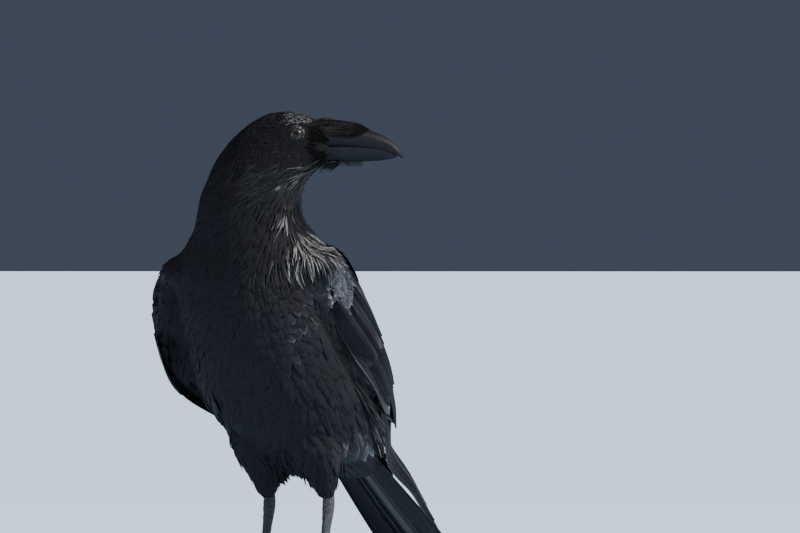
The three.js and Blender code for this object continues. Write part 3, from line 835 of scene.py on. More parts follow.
def coat_kind(points, out, ground):
    """The kind of feather at each point, from the ground it is on and the way the surface faces."""
    points = points + rng.normal(0, 1.6, points.shape)  # one kind gives way to the next little by little
    forward, z = points @ FORWARD, points[:, 2]
    from_middle, back = np.abs(points[:, 0]), points[:, 1]
    aside = np.abs(points @ HEAD_RIGHT)
    off = round_the_neck(points)[0]
    kind = np.full(len(points), "breast", "U10")
    trunk = ground == "trunk"
    kind[trunk & (z < 205)] = "belly"
    kind[trunk & (z < 190) & (from_middle > 36)] = "flank"
    kind[trunk & (out[:, 1] > 0.05) & (z > 150)] = "mantle"
    kind[(kind == "mantle") & (from_middle > 16)] = "scapular"
    kind[(kind == "scapular") & (from_middle > 42) & (z < 250)] = "flank"
    kind[trunk & (back > 92) & (z < 150)] = "vent"
    jaw = 350 + rng.normal(0, 4, len(points))
    on_wing = np.char.startswith(ground, "wing")
    neck = (ground == "neck") | (trunk & (z > 268)) | ((ground == "head") & (z < jaw))
    neck |= on_wing & (z > 276) & (back < 30)
    kind[neck] = "nape"
    reach = mix(-0.6, -1.5, smooth_step(296, 334, z))
    kind[neck & (off > reach) & (off < 1.3)] = "throat"
    head = (ground == "head") & (z >= jaw)
    kind[head] = "crown"
    kind[head & ((aside > 17) | (z < 366)) & (forward > -12)] = "cheek"
    kind[head & ((eye_distance(points) < 15) | (forward > 46) | ((forward > 26) & (z > 383)))] = "face"
    kind[head & (forward > 46) & (z > 365) & (z < 384)] = "none"
    kind[ground == "thigh"] = "thigh"
    winged = on_wing & ~neck
    kind[winged] = "lesser"
    kind[winged & (out[:, 0] * np.sign(points[:, 0]) < 0.25)] = "lining"
    for side in SIDES:
        mine = np.flatnonzero(winged & (ground == f"wing_{side}"))
        t, s, _ = near_wing(side, points[mine])
        kind[mine[(s < 0.1) & (t > 0.1)]] = "lining"
    return kind


def lore_kind(points, out, ground):
    """Bristly feathers before the eye and under the corner of the mouth, which lie forward over the others."""
    points = points + rng.normal(0, 1.1, points.shape)
    forward, z = points @ FORWARD, points[:, 2]
    front = (forward > 43) & (z > 365) & (z < 384.5) & ~((forward > 48) & (z < 372.5))
    corner = (forward > 47) & (forward < 57) & (z > 353.5) & (z < 363.5)
    return np.where((ground == "head") & (front | corner), "lore", "none")


# Where a painted highlight lightens the coat: forward, up and to the right in the head, then its reach and how
# strongly.
PAINTED_GLEAMS = [
    *((43, 388, 11, 22, 1), (43, 388, -11, 22, 1), (27, 366, 22, 8, 0.9), (37, 361, 20, 10, 0.5)),
    *((24, 358, 22, 2.5, 0.7), (46, 350, 14, 9, 0.9), (36, 344, 22, 7, 0.7), (34, 318, 32, 13, 1)),
    *((34, 300, 34, 20, 1), (38, 284, 34, 25, 1), (52, 296, 18, 22, 1), (66, 286, 0, 24, 1)),
    *((76, 260, 28, 32, 1), (67, 278, 28, 20, 0.9), (90, 246, 4, 34, 1), (44, 240, 46, 38, 0.64)),
    *((38, 212, 50, 36, 0.63), (26, 204, 56, 26, 0.62), (80, 132, -25, 34, 0.6), (88, 145, -60, 44, 0.6)),
    (106, 122, -88, 38, 0.85),
]


def painted_gleam(points):
    """How strongly a painted highlight lightens the feathers, from 0 to 1."""
    shares = [
        smooth_step(reach, reach * 0.4, np.linalg.norm(points - in_head(*place), axis=1)) * strong
        for *place, reach, strong in PAINTED_GLEAMS
    ]
    return np.max(shares, axis=0)


# What is grown on, one for each node of FLESH.
GROUND_NAMES = ["trunk", "neck", "head", "thigh", "thigh", "wing_left", "wing_right"]


class Ground:
    """The skin, ready to be asked what it is at a point."""

    def __init__(self, skin):
        mesh = skin.data
        mesh.calc_loop_triangles()
        self.corners = read(mesh.loop_triangles, "vertices", 3, int)
        self.loops = read(mesh.loop_triangles, "loops", 3, int)
        self.points = read(mesh.vertices, "co", 3)
        self.normals = read(mesh.vertices, "normal", 3)
        self.uv = read(mesh.uv_layers["OFBake"].data, "uv", 2)
        self.tree = BVHTree.FromPolygons(self.points.tolist(), self.corners.tolist())
        self.trunk = surface_of("trunk")
        self.labels = self.label_vertices()

    def label_vertices(self):
        """What each vertex is part of, by the CAD node nearest to it."""
        trees = [surface_of(node) for node in FLESH]
        far = [[tree.find_nearest(p)[3] for p in self.points] for tree in trees]
        return np.array(GROUND_NAMES)[np.argmin(far, axis=0)]

    def flat_places(self, points):
        """Where the skin nearest to each point lies on its map."""
        faces = [self.tree.find_nearest(p)[2] for p in points]
        return self.uv[self.loops[faces]].mean(1)

    def struck(self, start, way):
        """Where a ray meets the skin, in the bird's millimetres, or None."""
        hit = self.tree.ray_cast(Vector(seated(start)), Vector(way))[0]
        return in_bird(hit) if hit else None

    def settle(self, points):
        """The nearest places on the skin, and the smooth normals there."""
        found = [self.tree.find_nearest(p) for p in points]
        place = np.array([f[0] for f in found])
        corner = self.corners[[f[2] for f in found]]
        weight = 1 / (np.linalg.norm(self.points[corner] - place[:, None], axis=-1) + 1e-4)
        return place, unit(np.einsum("nk,nkj->nj", weight, self.normals[corner]))

    def covered(self, points, out, label):
        """Where nothing grows: under the wings, behind the lesser coverts, at the eyes and the bill's root."""
        hidden = eye_distance(points) < EYE_RADIUS + 0.4
        for side in SIDES:
            mine = np.flatnonzero(label == f"wing_{side}")
            t, s, _ = near_wing(side, points[mine])
            facing = np.sum(WINGS[side].normal(t, s) * out[mine], axis=1)
            inner = (facing < 0.1) & (t > 0.05)
            close = np.array([self.trunk.find_nearest(p)[3] < 3.5 * MM for p in seated(points[mine])], bool)
            last = mix(0.12, 0.2, smooth_step(0.1, 0.5, s))
            hidden[mine] |= (inner & close & (t > 0.1)) | (~inner & (t > last) & (s > 0.1))
        forward, z = points @ FORWARD, points[:, 2]
        at_bill = (z > 340) & (forward > np.where(z > 366, 60, 84))
        gape = (z > 363.2) & (z < np.where(forward > 56, 371, 366.2)) & (forward > 46)
        return hidden | at_bill | gape

    def scatter(self, kind_of):
        """Roots all over the skin, each kind at its own spacing, and clear of the wings' undersides."""
        corner = self.corners
        centre = in_bird(self.points[corner].mean(1))
        out = unit(self.normals[corner].mean(1))
        label = self.labels[corner[:, 0]]
        kind = kind_of(centre, out, label)
        gap = np.array([COAT[k][2] for k in kind])
        a, b, c = (self.points[corner[:, i]] / MM for i in range(3))
        area = np.linalg.norm(np.cross(b - a, c - a), axis=1) / 2
        area[self.covered(centre, out, label)] = 0
        pick = np.repeat(np.arange(len(area)), rng.poisson(area / gap**2 * 6))
        share = rng.dirichlet((1, 1, 1), len(pick))
        points = np.einsum("nk,nkj->nj", share, self.points[corner[pick]])
        uv = np.einsum("nk,nkj->nj", share, self.uv[self.loops[pick]])
        reach = gap[pick] * MM * 0.86
        tree = tree_of(points)
        free = np.ones(len(points), bool)
        kept = []
        for i in rng.permutation(len(points)):
            if free[i]:
                kept.append(i)
                free[[other for _, other, _ in tree.find_range(points[i], reach[i])]] = False
        return points[kept], uv[kept], kind[pick][kept], label[pick][kept]

    def lay(self, roots, length, swing, kind, steps):
        """Feather paths from their roots along the skin, turned by their own swing, and the normals there."""
        place, out = self.settle(roots)
        path, normal = [place], [out]
        for step in steps:
            way = flow(in_bird(place), kind)
            way = unit(way - out * dot(way, out))
            way = way * np.cos(swing)[:, None] + np.cross(out, way) * np.sin(swing)[:, None]
            place, out = self.settle(place + way * (length * step)[:, None])
            path.append(place)
            normal.append(out)
        return np.stack(path, 1), np.stack(normal, 1)


def under_wing(points, kind):
    """The share of their lift that the body's feathers keep near the wings, which lie over them."""
    near = np.min([near_wing(side, points)[2] for side in SIDES], axis=0)
    share = mix(0.35, 1.0, smooth_step(3, 20, near))
    return np.where(np.isin(kind, ("breast", "belly", "flank")), share, 1.0)


def grow(name, ground, roots, uv, kind, label):
    """One piece of the coat, each feather laid along the skin and lifted over those behind it."""
    form = SLIM if name in ("lore_bristles", "face_feathers") else BROAD
    many = len(roots)
    length, width, _, blunt, lift, unruly, soft = np.array([COAT[k][:7] for k in kind], float).T
    length = length * rng.uniform(0.82, 1.15, many) * MM
    width = width * rng.uniform(0.85, 1.12, many) * MM
    lift = lift * rng.uniform(0.75, 1.12, many) * MM * under_wing(in_bird(roots), kind)
    swing = np.radians(rng.normal(0, 1, many) * unruly)
    flow_kind = np.where(np.char.startswith(label, "wing"), label, kind)
    path, normal = ground.lay(roots, length, swing, flow_kind, np.diff(form.stations))
    uneven = rng.uniform(-0.09, 0.09, many) * lift
    height = -ROOT_DEPTH + (lift[:, None] + ROOT_DEPTH) * form.stations[None] ** 0.75 + uneven[:, None]
    half = vane_width(form, width / 2, blunt)
    thick = np.minimum(0.26 * MM, width * 0.035)
    crown = width * rng.uniform(0.03, 0.07, many)
    roll = np.radians(rng.normal(0, 3, many))
    # Each feather's tone: painted highlight from painted_gleam, less of it on the nape and lower face, mixed
    # with wear at random.
    kinds = [kind == "throat", kind == "lesser", np.isin(kind, ("breast", "belly"))]
    wild = np.select(kinds, [0.68, 0.32, 0.2], 0.42)
    low_face = (kind == "face") & (in_bird(roots)[:, 2] < 386)
    dim = np.select([kind == "nape", low_face], [0.5, 0.2], 1)
    tone = mix(painted_gleam(in_bird(roots)) * dim, rng.random(many), wild)
    finish = COAT_FINISHES.get(name, "coat")
    laid = path, normal, half, height, thick, crown, roll, uv, tone, soft
    worn_by_bird(build_vanes(name, form, finish, *laid), "plumage")


def grow_coat(ground):
    found = [ground.scatter(kind_of) for kind_of in (coat_kind, lore_kind)]
    grown = [np.concatenate(parts) for parts in zip(*found)]
    piece = np.array([COAT[kind][-1] for kind in grown[2]])
    for name in sorted(set(piece)):
        grow(str(name), ground, *(values[piece == name] for values in grown))


# ---------- wing and tail feathers ----------
# A large feather with a shaft, laid over a surface between two edges, and lifted off it at its root and tip.
BLADE_FIELDS = "start tip low middle high root_height tip_height tilt round_tip splits bend"
Blade = namedtuple("Blade", BLADE_FIELDS, defaults=(0.16, 2, 1))
BLADE_ROWS, BLADE_COLUMNS = 22, 6


def blade_outline(u, round_tip):
    """Share of the full width at u along a feather, from a narrow base to a rounded tip."""
    base = np.minimum(1, 0.45 + 1.6 * u)
    end = np.clip((u - (1 - round_tip)) / round_tip, 0, 1)
    return base * np.sqrt(np.maximum(1 - end**2, 0.004))


def make_blades(name, blades, surface, slot, *nodes, finish="wing", thick=0.55):
    """All the feathers of one row or fan as one piece. surface(t, s) gives places and normals."""
    whole = bmesh.new()
    bake, vane, barb = (whole.loops.layers.uv.new(key) for key in ("OFBake", "vane", "barb"))
    tone_layer = whole.verts.layers.float.new("tone")
    cells = math.ceil(math.sqrt(len(blades)))
    for number, blade in enumerate(blades):
        bm = bmesh.new()
        bmesh.ops.create_grid(bm, x_segments=BLADE_COLUMNS, y_segments=BLADE_ROWS, size=0.5)
        grid = np.array([v.co for v in bm.verts])
        u, v = grid[:, 1] + 0.5, grid[:, 0] * 2
        split = np.zeros(len(u))
        for _ in range(blade.splits):
            where, side = rng.uniform(0.4, 0.85), rng.choice([-1, 1])
            split += 0.16 * np.exp(-(((u - where) / 0.02) ** 2)) * (np.sign(v) == side) * (np.abs(v) > 0.9)
        share = blade_outline(u, blade.round_tip) * (1 - split)
        t = mix(blade.start, blade.tip, u)
        s = np.where(v < 0, mix(blade.middle, blade.low, -v * share), mix(blade.middle, blade.high, v * share))
        points, out = surface(t, s)
        shaft = np.exp(-((v / 0.09) ** 2)) * mix(0.7, 0.15, u)
        rise = mix(blade.root_height, blade.tip_height, u**blade.bend)
        height = rise - blade.tilt * v + shaft - 0.9 * v**2 * share
        points = seated(points + out * height[:, None])
        for vertex, point in zip(bm.verts, points):
            vertex.co = point
        bm.verts.ensure_lookup_table()
        bm.normal_update()
        if np.mean([f.normal.dot(Vector(out[f.verts[0].index])) for f in bm.faces]) < 0:
            bmesh.ops.reverse_faces(bm, faces=bm.faces)
        flat = bm.verts.layers.float_vector.new("flat")
        for vertex, a, b in zip(bm.verts, u, v):
            vertex[flat] = (a, 0.5 + 0.5 * b, b)
        bmesh.ops.solidify(bm, geom=bm.faces, thickness=thick * MM)
        # A blade's tone is wear at random, raised to a painted highlight where painted_gleam is strong.
        tone = max(rng.random(), 0.95 * painted_gleam(in_bird(points[u > 0.6])).mean())
        span = np.linalg.norm(points[u > 0.99].mean(0) - points[u < 0.01].mean(0)) / MM
        wide = 0.5 * np.linalg.norm(np.ptp(points[np.abs(u - 0.5) < 0.04], axis=0)) / MM
        cell = np.array([number % cells, number // cells]) / cells
        copies = {v: whole.verts.new(v.co) for v in bm.verts}
        for copy in copies.values():
            copy[tone_layer] = tone
        for face in bm.faces:
            new = whole.faces.new([copies[v] for v in face.verts])
            for old, loop in zip(face.loops, new.loops):
                a, half_b, b = old.vert[flat]
                loop[bake].uv = Vector(cell + (0.04 + 0.92 * np.array([a, half_b])) / cells)
                loop[vane].uv = (a, half_b)
                loop[barb].uv = (a * span, b * wide)
        bm.free()
    worn_by_bird(linked(name, whole, FINISHES[finish], sharp_over=50), slot, *nodes)


LOWEST = {"left": 0.09, "right": 0.0}  # where on the wing's face its lowest feathers lie


def wing_surface(side, tuck=0):
    """The wing's face above its lowest feathers, pressed in towards the body by `tuck` except at the tip."""
    face = WINGS[side]

    def at(t, s):
        s = mix(LOWEST[side], 1, s)
        deep = tuck * np.clip((0.79 - t) / 0.13, 0, 1)
        shift = rows(-face.sign * deep * (1 - s), 0 * t, -deep * mix(0.4, 1, s))
        return face(np.clip(t, 0, 1), s) + shift, face.normal(np.clip(t, 0.001, 0.999), s)

    return at


PRIMARY_TIPS = [0.985, 1.0, 0.975, 0.94, 0.9, 0.85, 0.795]
SECONDARY_MIDDLES = [0.2, 0.27, 0.34, 0.42, 0.51, 0.61, 0.72, 0.85]
SECONDARY_TIPS = [0.2, 0.42, 0.6, 0.75, 0.92], [0.57, 0.598, 0.622, 0.645, 0.66]
# Rows of coverts: the first feather's place, how many, root, tips and their unevenness; how far each reaches
# down, its shaft lies off its place and it reaches up; heights of root and tip, tilt and roundness.
GREATER = (0.02, 12, 0.17, [0.41, 0.42, 0.44, 0.462, 0.475], 0.006, (0.07, 0.01, 0.1), (-1.2, 0.7, 0.5, 0.14))
MEDIAN = (0.05, 13, 0.13, [0.285, 0.335], 0.008, (0.065, 0, 0.08), (-0.2, 1.5, 0.4, 0.22))


def wing_feathers(side):
    over, under = wing_surface(side), wing_surface(side, PRIMARY_TUCK)
    primaries = []
    for i, (tip, s) in enumerate(zip(PRIMARY_TIPS, np.linspace(0.05, 0.86, len(PRIMARY_TIPS)))):
        high = -1.6 + 0.28 * i
        primaries.append(Blade(0.34, tip, max(s - 0.1, 0), s + 0.02, min(s + 0.2, 1), high, high, 0.5, 0.14))
    name = f"wing_{side}_primary_feathers"
    make_blades(name, primaries, under, "flight_feathers", f"wing_{side}_primaries", thick=0.6)

    secondaries = []
    for i, s in enumerate(SECONDARY_MIDDLES):
        wide, tip, up = 0.075 + 0.01 * i, float(np.interp(s, *SECONDARY_TIPS)), 0.1 * i
        high = min(s + wide * 1.5, 1)
        secondaries.append(Blade(0.3, tip, s - wide, s + 0.01, high, up - 4.2, up - 0.6, 0.55, 0.1, bend=0.6))
    name = f"wing_{side}_secondary_feathers"
    make_blades(name, secondaries, over, "flight_feathers", f"wing_{side}_secondaries")

    coverts = []
    for first, many, start, tips, uneven, (below, shift, above), shape in (GREATER, MEDIAN):
        for s in np.linspace(first, 0.95, many):
            tip = float(np.interp(s, np.linspace(0, 1, len(tips)), tips)) + rng.uniform(-uneven, uneven)
            coverts.append(Blade(start, tip, max(s - below, -0.02), s + shift, min(s + above, 1), *shape))
    for i, s in enumerate([0.0, 0.035, 0.07]):  # primary coverts and the thumb feathers along the lower edge
        up, high = 0.5 * i, s + 0.07
        coverts.append(Blade(0.12, 0.47 - 0.03 * i, s - 0.05, s, high, up - 0.4, up + 0.6, 0.4, 0.12))
        up = 0.3 * i
        coverts.append(Blade(0.05, 0.24 + 0.02 * i, s - 0.04, s + 0.02, high, up + 0.2, up + 1.6, 0.4, 0.14))
    make_blades(f"wing_{side}_covert_feathers", coverts, over, "plumage", thick=0.5)


BACK_OUT = unit(np.array([0.0, 0.72, 0.69]))


class Saddle:
    """The surface over the back and both wings' upper parts, at t down the wings and s from right to left."""

    END, ROWS, COLUMNS, STEPS = 0.6, 31, 49, 20
    RIMS = (0.55, 0.78, 1.0)  # places on each wing's face that it follows

    def __init__(self, ground):
        at = np.linspace(0, self.END, self.ROWS)
        rims = []
        for face in (WINGS["right"], WINGS["left"]):
            for s in self.RIMS:
                rims.append(face(at, 0 * at + s) + face.normal(np.clip(at, 0.001, 1), 0 * at + s) * 0.6)
        crest = (rims[2] + rims[5]) / 2
        for i, middle in enumerate(crest):
            hit = ground.struck(middle + BACK_OUT * 45, -BACK_OUT)
            rise = 0 if hit is None else (hit - middle) @ BACK_OUT + 3
            crest[i] = middle + BACK_OUT * np.clip(rise, 1, mix(1, 12, smooth_step(0.1, 0.24, at[i])))
        controls = np.array([*rims[:3], crest, *rims[:2:-1]])
        self.grid, self.length, self.ends = [], [], []
        for i in range(self.ROWS):
            fine = Curve(controls[:, i])(np.linspace(0, 1, self.STEPS * (len(controls) - 1) + 1))
            far = np.concatenate([[0], np.cumsum(np.linalg.norm(np.diff(fine, axis=0), axis=1))])
            even = np.linspace(0, far[-1], self.COLUMNS)
            self.grid.append(rows(*(np.interp(even, far, fine[:, k]) for k in range(3))))
            self.length.append(far[-1])
            self.ends.append((far[self.STEPS] / far[-1], far[-self.STEPS - 1] / far[-1]))
        self.grid = np.array(self.grid)

    def place(self, t, s):
        x = np.clip(t / self.END, 0, 1) * (self.ROWS - 1)
        y = np.clip(s, 0, 1) * (self.COLUMNS - 1)
        i, j = np.minimum(x.astype(int), self.ROWS - 2), np.minimum(y.astype(int), self.COLUMNS - 2)
        a, b = (x - i)[:, None], (y - j)[:, None]
        g = self.grid
        return mix(mix(g[i, j], g[i, j + 1], b), mix(g[i + 1, j], g[i + 1, j + 1], b), a)

    def __call__(self, t, s):
        h = 0.02
        along = self.place(np.minimum(t + h, self.END), s) - self.place(np.maximum(t - h, 0), s)
        across = self.place(t, np.minimum(s + h, 1)) - self.place(t, np.maximum(s - h, 0))
        return self.place(t, s), unit(np.cross(along, across))

    def row(self, t):
        """The length across at t, and the shares of it where the rounded feathers begin and end."""
        i = round(t / self.END * (self.ROWS - 1))
        return self.length[i], *self.ends[i]


def shoulder_feathers(ground):
    """Rows of rounded feathers over the back and the roots of the wings."""
    surface = Saddle(ground)
    blades = []
    for row, start in enumerate(np.linspace(0.41, 0.12, 8)):
        across, first, last = surface.row(start + 0.05)
        many = max(round(across * (last - first) / 10), 4)
        for i in range(many):
            s = mix(first, last, (i + 0.5 * (row % 2) + rng.uniform(0.2, 0.6)) / many)
            wide = rng.uniform(0.8, 1.05) * 10.5 / across
            tip = min(start + rng.uniform(0.15, 0.19), surface.END)
            blades.append(Blade(start, tip, s - wide, s, s + wide, -2.5, rng.uniform(0.3, 1.5), 0.1, 0.34, 1))
    make_blades("shoulder_feathers", blades, surface, "plumage", finish="shoulder", thick=0.4)


TAIL_PITCH = math.radians(31.5)
TAIL_ROOT = np.array([0.0, 146, 136])
TAIL_BACK = np.array([0.0, math.cos(TAIL_PITCH), -math.sin(TAIL_PITCH)])
TAIL_UP = np.array([0.0, math.sin(TAIL_PITCH), math.cos(TAIL_PITCH)])
TAIL_LENGTH, TAIL_HALF, TAIL_ROOT_HALF = 236, 39, 12
TAIL_CURL = 0.0042  # how much the fan falls off to its sides
TAIL_TIPS = [1, 1, 0.985, 0.96, 0.925, 0.87]  # from the middle pair outwards


def tail_surface(t, s):
    across = ((2 * s - 1) * mix(TAIL_ROOT_HALF, TAIL_HALF, np.sqrt(np.maximum(t, 0))))[:, None]
    points = TAIL_ROOT + TAIL_BACK * (t * TAIL_LENGTH)[:, None] - TAIL_UP * (TAIL_CURL * across**2)
    return points + LEFT * across, unit(TAIL_UP + LEFT * (2 * TAIL_CURL * across))


def tail_feathers():
    """Twelve feathers, the middle pair longest and on top."""
    blades = []
    for pair, tip in reversed(list(enumerate(TAIL_TIPS))):
        for hand in (-1, 1):
            s = 0.5 + hand * (pair + 0.4) / 12.4
            low, high = sorted((s - hand * 0.2, s + hand * 0.08))
            rise = -0.5 - 0.42 * pair - (0.2 if hand > 0 else 0)
            edges = max(low, 0), s + hand * 0.015, min(high, 1)
            blades.append(Blade(0.02, tip, *edges, rise, rise, -0.25 * hand, 0.13, 1))
    make_blades("tail_feathers", blades, tail_surface, "flight_feathers", "tail", thick=0.6)


# ---------- bill ----------
def bent_round(t, ends):
    """The share of its full size that a body has at t, with both its ends rounded."""
    t, far = np.clip(t / ends[0], 0, 1), np.clip((1 - t) / ends[1], 0, 1)
    return np.sqrt(1 - (1 - t) ** 2) * np.sqrt(1 - (1 - far) ** 2)


def squared(wave, power):
    return np.sign(wave) * np.abs(wave) ** (2 / power)


def rounded_body(rings, side, around, along, ends, low_power=2.0, high_power=2.0, swell=None):
    """A closed body between a back and a belly outline, from a sphere stretched along them.

    Each ring is (back point, belly point, half width). A power over 2 squares off that half of the section.
    """
    backs, bellies, widths = zip(*rings)
    back, belly, wide = Curve(backs), Curve(bellies), widths_along(widths)
    bm = bmesh.new()
    bmesh.ops.create_uvsphere(bm, u_segments=around, v_segments=along, radius=1)

    def where(x, y, z):
        t, angle = (1 - z) / 2, np.arctan2(y, x)
        top, low = back(t), belly(t)
        size = bent_round(t, ends)
        power = np.where(np.sin(angle) < 0, low_power, high_power)
        across, rise = squared(np.cos(angle), power), squared(np.sin(angle), power)
        grown = 1 if swell is None else swell(t, angle)
        offset = side * (wide(t)[:, :1] * (size * across)[:, None]) + (top - low) / 2 * (size * rise)[:, None]
        return seated((top + low) / 2 + offset * np.reshape(grown, (-1, 1)))

    place_vertices(bm, where)
    bmesh.ops.recalc_face_normals(bm, faces=bm.faces)
    return bm


# Rings of each half of the bill: how far forward, its upper and lower heights and its half width.
UPPER_BILL = [
    *((56, 386, 366.5, 13.9), (66, 387, 367.3, 12), (84, 385.5, 367.2, 9.6), (99, 381.8, 366, 7.8)),
    *((112, 376.4, 363.8, 5.6), (121, 369.6, 361.2, 3.6), (127.6, 359.6, 357.6, 1.3)),
]
LOWER_BILL = [
    *((56, 368, 355.5, 10), (66, 368.4, 354.6, 9.8), (84, 368.2, 354.4, 8.4), (102, 367, 355.2, 6.4)),
    *((115, 364.6, 356.6, 4.2), (123.6, 361.2, 358.6, 1.6)),
]


def make_bill():
    upper, lower = [], []
    for far, ridge, edge, wide in UPPER_BILL:
        upper.append((in_head(far, ridge), in_head(far - (ridge - edge) * 0.12, edge), wide))
    for far, edge, keel, wide in LOWER_BILL:
        lower.append((in_head(far, edge + 1.3), in_head(far - 2, keel), wide - 0.3))
    for name, rings, *shape in (
        ("upper", upper, 40, 48, (0.06, 0.04), 3.6, 2.0),
        ("lower", lower, 36, 40, (0.06, 0.05), 2.0, 3.6),
    ):
        bm = rounded_body(rings, HEAD_RIGHT, *shape)
        worn_by_bird(linked(f"{name}_bill", bm, FINISHES["horn"]), "horn", f"bill_{name}")


# ---------- bristles ----------
def spikes(
    name, finish, ground, root, tip, bow, width, nodes=(), form=SPIKE, blunt=0.1, twist=30, pale=1.0, soft=None
):
    """Free feathers from root to tip, bowed outwards by `bow`. All in the bird's millimetres."""
    many = len(root)
    u = form.stations[None, :, None]
    path = mix(root[:, None], tip[:, None], u) + bow[:, None] * (4 * u * (1 - u))
    out = np.broadcast_to(unit(bow)[:, None], path.shape)
    half = vane_width(form, width * MM / 2, np.full(many, blunt))
    bake = ground.flat_places(seated(root))
    roll = np.radians(rng.normal(0, twist, many))
    flat = np.zeros((many, len(form.stations)))
    thick = np.minimum(width * 0.22, 0.4) * MM
    # Tone: painted highlight from painted_gleam mixed with wear at random, scaled by `pale`.
    tone = mix(painted_gleam(root), rng.random(many), 0.6) * pale
    soft = None if soft is None else np.full(many, soft)
    laid = seated(path), out, half, flat, thick, flat[:, 0], roll, bake, tone, soft
    worn_by_bird(build_vanes(name, form, finish, *laid), "plumage", *nodes)


NASAL_TUFT = [(50, 390.6, 371, 14.6), (62, 389.8, 371.5, 14), (78, 389, 372.5, 12.4), (91, 386.8, 374.5, 10)]
NASAL_TUFT += [(100, 384, 377, 7)]
TUFT_BACK = Curve([in_head(forward, top) for forward, top, _, _ in NASAL_TUFT])
TUFT_BELLY = Curve([in_head(forward + 2, low) for forward, _, low, _ in NASAL_TUFT])
TUFT_WIDTH = widths_along([wide for *_, wide in NASAL_TUFT])
NASAL_BRISTLES, STANDING_BRISTLES = 1500, 110
CHIN_FEATHERS, CHIN_HAIRS = 220, 200
FLANK_FEATHERS, BELLY_FEATHERS = 360, 260


def in_tuft(t, angle, deep):
    """Places in the tuft over the nostrils, at t along it, at an angle round it and at a share of its depth."""
    top, low = TUFT_BACK(t), TUFT_BELLY(t)
    size = np.sqrt(1 - (1 - np.clip((1 - t) / 0.3, 0.02, 1)) ** 2)
    across = HEAD_RIGHT * (TUFT_WIDTH(t)[:, :1] * (size * np.cos(angle) * deep)[:, None])
    return (top + low) / 2 + across + (top - low) / 2 * (size * np.sin(angle) * deep)[:, None]


def outwards_in_tuft(t, angle, inner):
    return unit(in_tuft(t, angle, np.ones(len(t))) - in_tuft(t, angle, np.full(len(t), inner)))


def make_bristles(ground):
    """Bristles that lie forward over the nostrils and the bill's root, and short ones that stand up there."""
    many, standing = NASAL_BRISTLES, STANDING_BRISTLES
    angle = rng.uniform(-1.15, math.pi + 1.15, many)
    start = 0.09 + rng.uniform(0.0, 0.46, many) ** 1.3
    end = np.minimum(start + rng.uniform(0.38, 0.62, many), 0.99)
    root = in_tuft(start, angle, rng.uniform(0.72, 0.86, many))
    tip = in_tuft(end, angle + rng.normal(0, 0.2, many), rng.uniform(0.9, 1.08, many))
    bow = outwards_in_tuft((start + end) / 2, angle, 0.5) * rng.uniform(0.3, 1.6, many)[:, None]
    width = rng.uniform(0.6, 1.1, many)

    angle = rng.uniform(0.5, math.pi - 0.5, standing)
    low = in_tuft(rng.uniform(0.0, 0.3, standing), angle, np.full(standing, 0.85))
    outward = outwards_in_tuft(np.full(standing, 0.2), angle, 0.3)
    high = low + FORWARD * rng.uniform(5, 10, standing)[:, None]
    high = high + outward * rng.uniform(1.5, 4.2, standing)[:, None]
    root, tip, bow = np.vstack([root, low]), np.vstack([tip, high]), np.vstack([bow, outward * 0.4])
    width = np.concatenate([width, rng.uniform(0.6, 1.0, standing)])
    spikes("nasal_bristles", "bristle", ground, root, tip, bow, width, ["nasal_tuft"])


def make_chin(ground):
    """Fine feathers that hang under the root of the lower bill, forward at the tip and back at the throat."""
    many = CHIN_FEATHERS + CHIN_HAIRS
    forward = np.concatenate([rng.uniform(54, 78, CHIN_FEATHERS), rng.uniform(60, 92, CHIN_HAIRS)])
    hanging = np.arange(many) >= CHIN_FEATHERS
    side = rng.uniform(-1, 1, many) * np.interp(forward, [54, 92], [9, 3.6])
    root = in_head(forward, 356.2 + 0.03 * side**2, side)
    reach = np.where(hanging, rng.uniform(3.5, 6.5, many), rng.uniform(10, 16, many))
    way = FORWARD * np.where(hanging, 0.35, -0.95)[:, None] - UP * np.where(hanging, 0.7, 0.36)[:, None]
    way = unit(way + rng.normal(0, 0.16, (many, 3)) + HEAD_RIGHT * (0.03 * side)[:, None])
    bow = -UP * rng.uniform(0.2, 0.8, many)[:, None]
    width = np.where(hanging, 0.32, 1.8) * rng.uniform(0.8, 1.2, many)
    spikes("chin_bristles", "coat", ground, root, root + way * reach[:, None], bow, width)


def make_tufts(ground):
    """Long loose feathers of the flanks, over the wings' lower edges, and of the belly between the thighs."""
    tufts = []
    many = FLANK_FEATHERS
    for sign in SIDES.values():
        far = rng.uniform(0.1 if sign > 0 else 0.3, 1.08, many)
        low = mix(172, 127, far) + rng.uniform(-2, 10, many)
        root = seated(rows(sign * mix(64, 34, far**0.8), mix(52, 146, far), low))
        root = in_bird(ground.settle(root)[0]) + rng.normal(0, 1.5, (many, 3))
        way = rows(sign * mix(0.02, -0.16, far), mix(0.74, 0.86, far), mix(-0.7, -0.46, far))
        way = unit(way + rng.normal(0, 0.09, (many, 3)))
        tip = root + way * rng.uniform(24, 44, many)[:, None]
        bow = unit(LEFT * sign + UP * 0.15 + rng.normal(0, 0.1, (many, 3))) * rng.uniform(0.3, 2, many)[:, None]
        tufts.append((root, tip, bow, rng.uniform(1.6, 4.2, many)))
    many = BELLY_FEATHERS
    low = rows(rng.uniform(-17, 17, many), rng.uniform(40, 136, many), np.full(many, 40.0))
    root = np.array([ground.struck(place, UP) for place in low])
    way = unit(np.array([0, 0.62, -0.78]) + rng.normal(0, 0.1, (many, 3)))
    tip = root + way * rng.uniform(8, 17, many)[:, None]
    bow = np.array([0.0, -1, -0.6]) * rng.uniform(0.4, 2, many)[:, None]
    tufts.append((root, tip, bow, rng.uniform(2.0, 5.0, many)))
    joined = [np.concatenate(part) for part in zip(*tufts)]
    spikes("flank_tufts", "coat", ground, *joined, form=BROAD, blunt=0.25, twist=8, pale=0.95, soft=0.7)


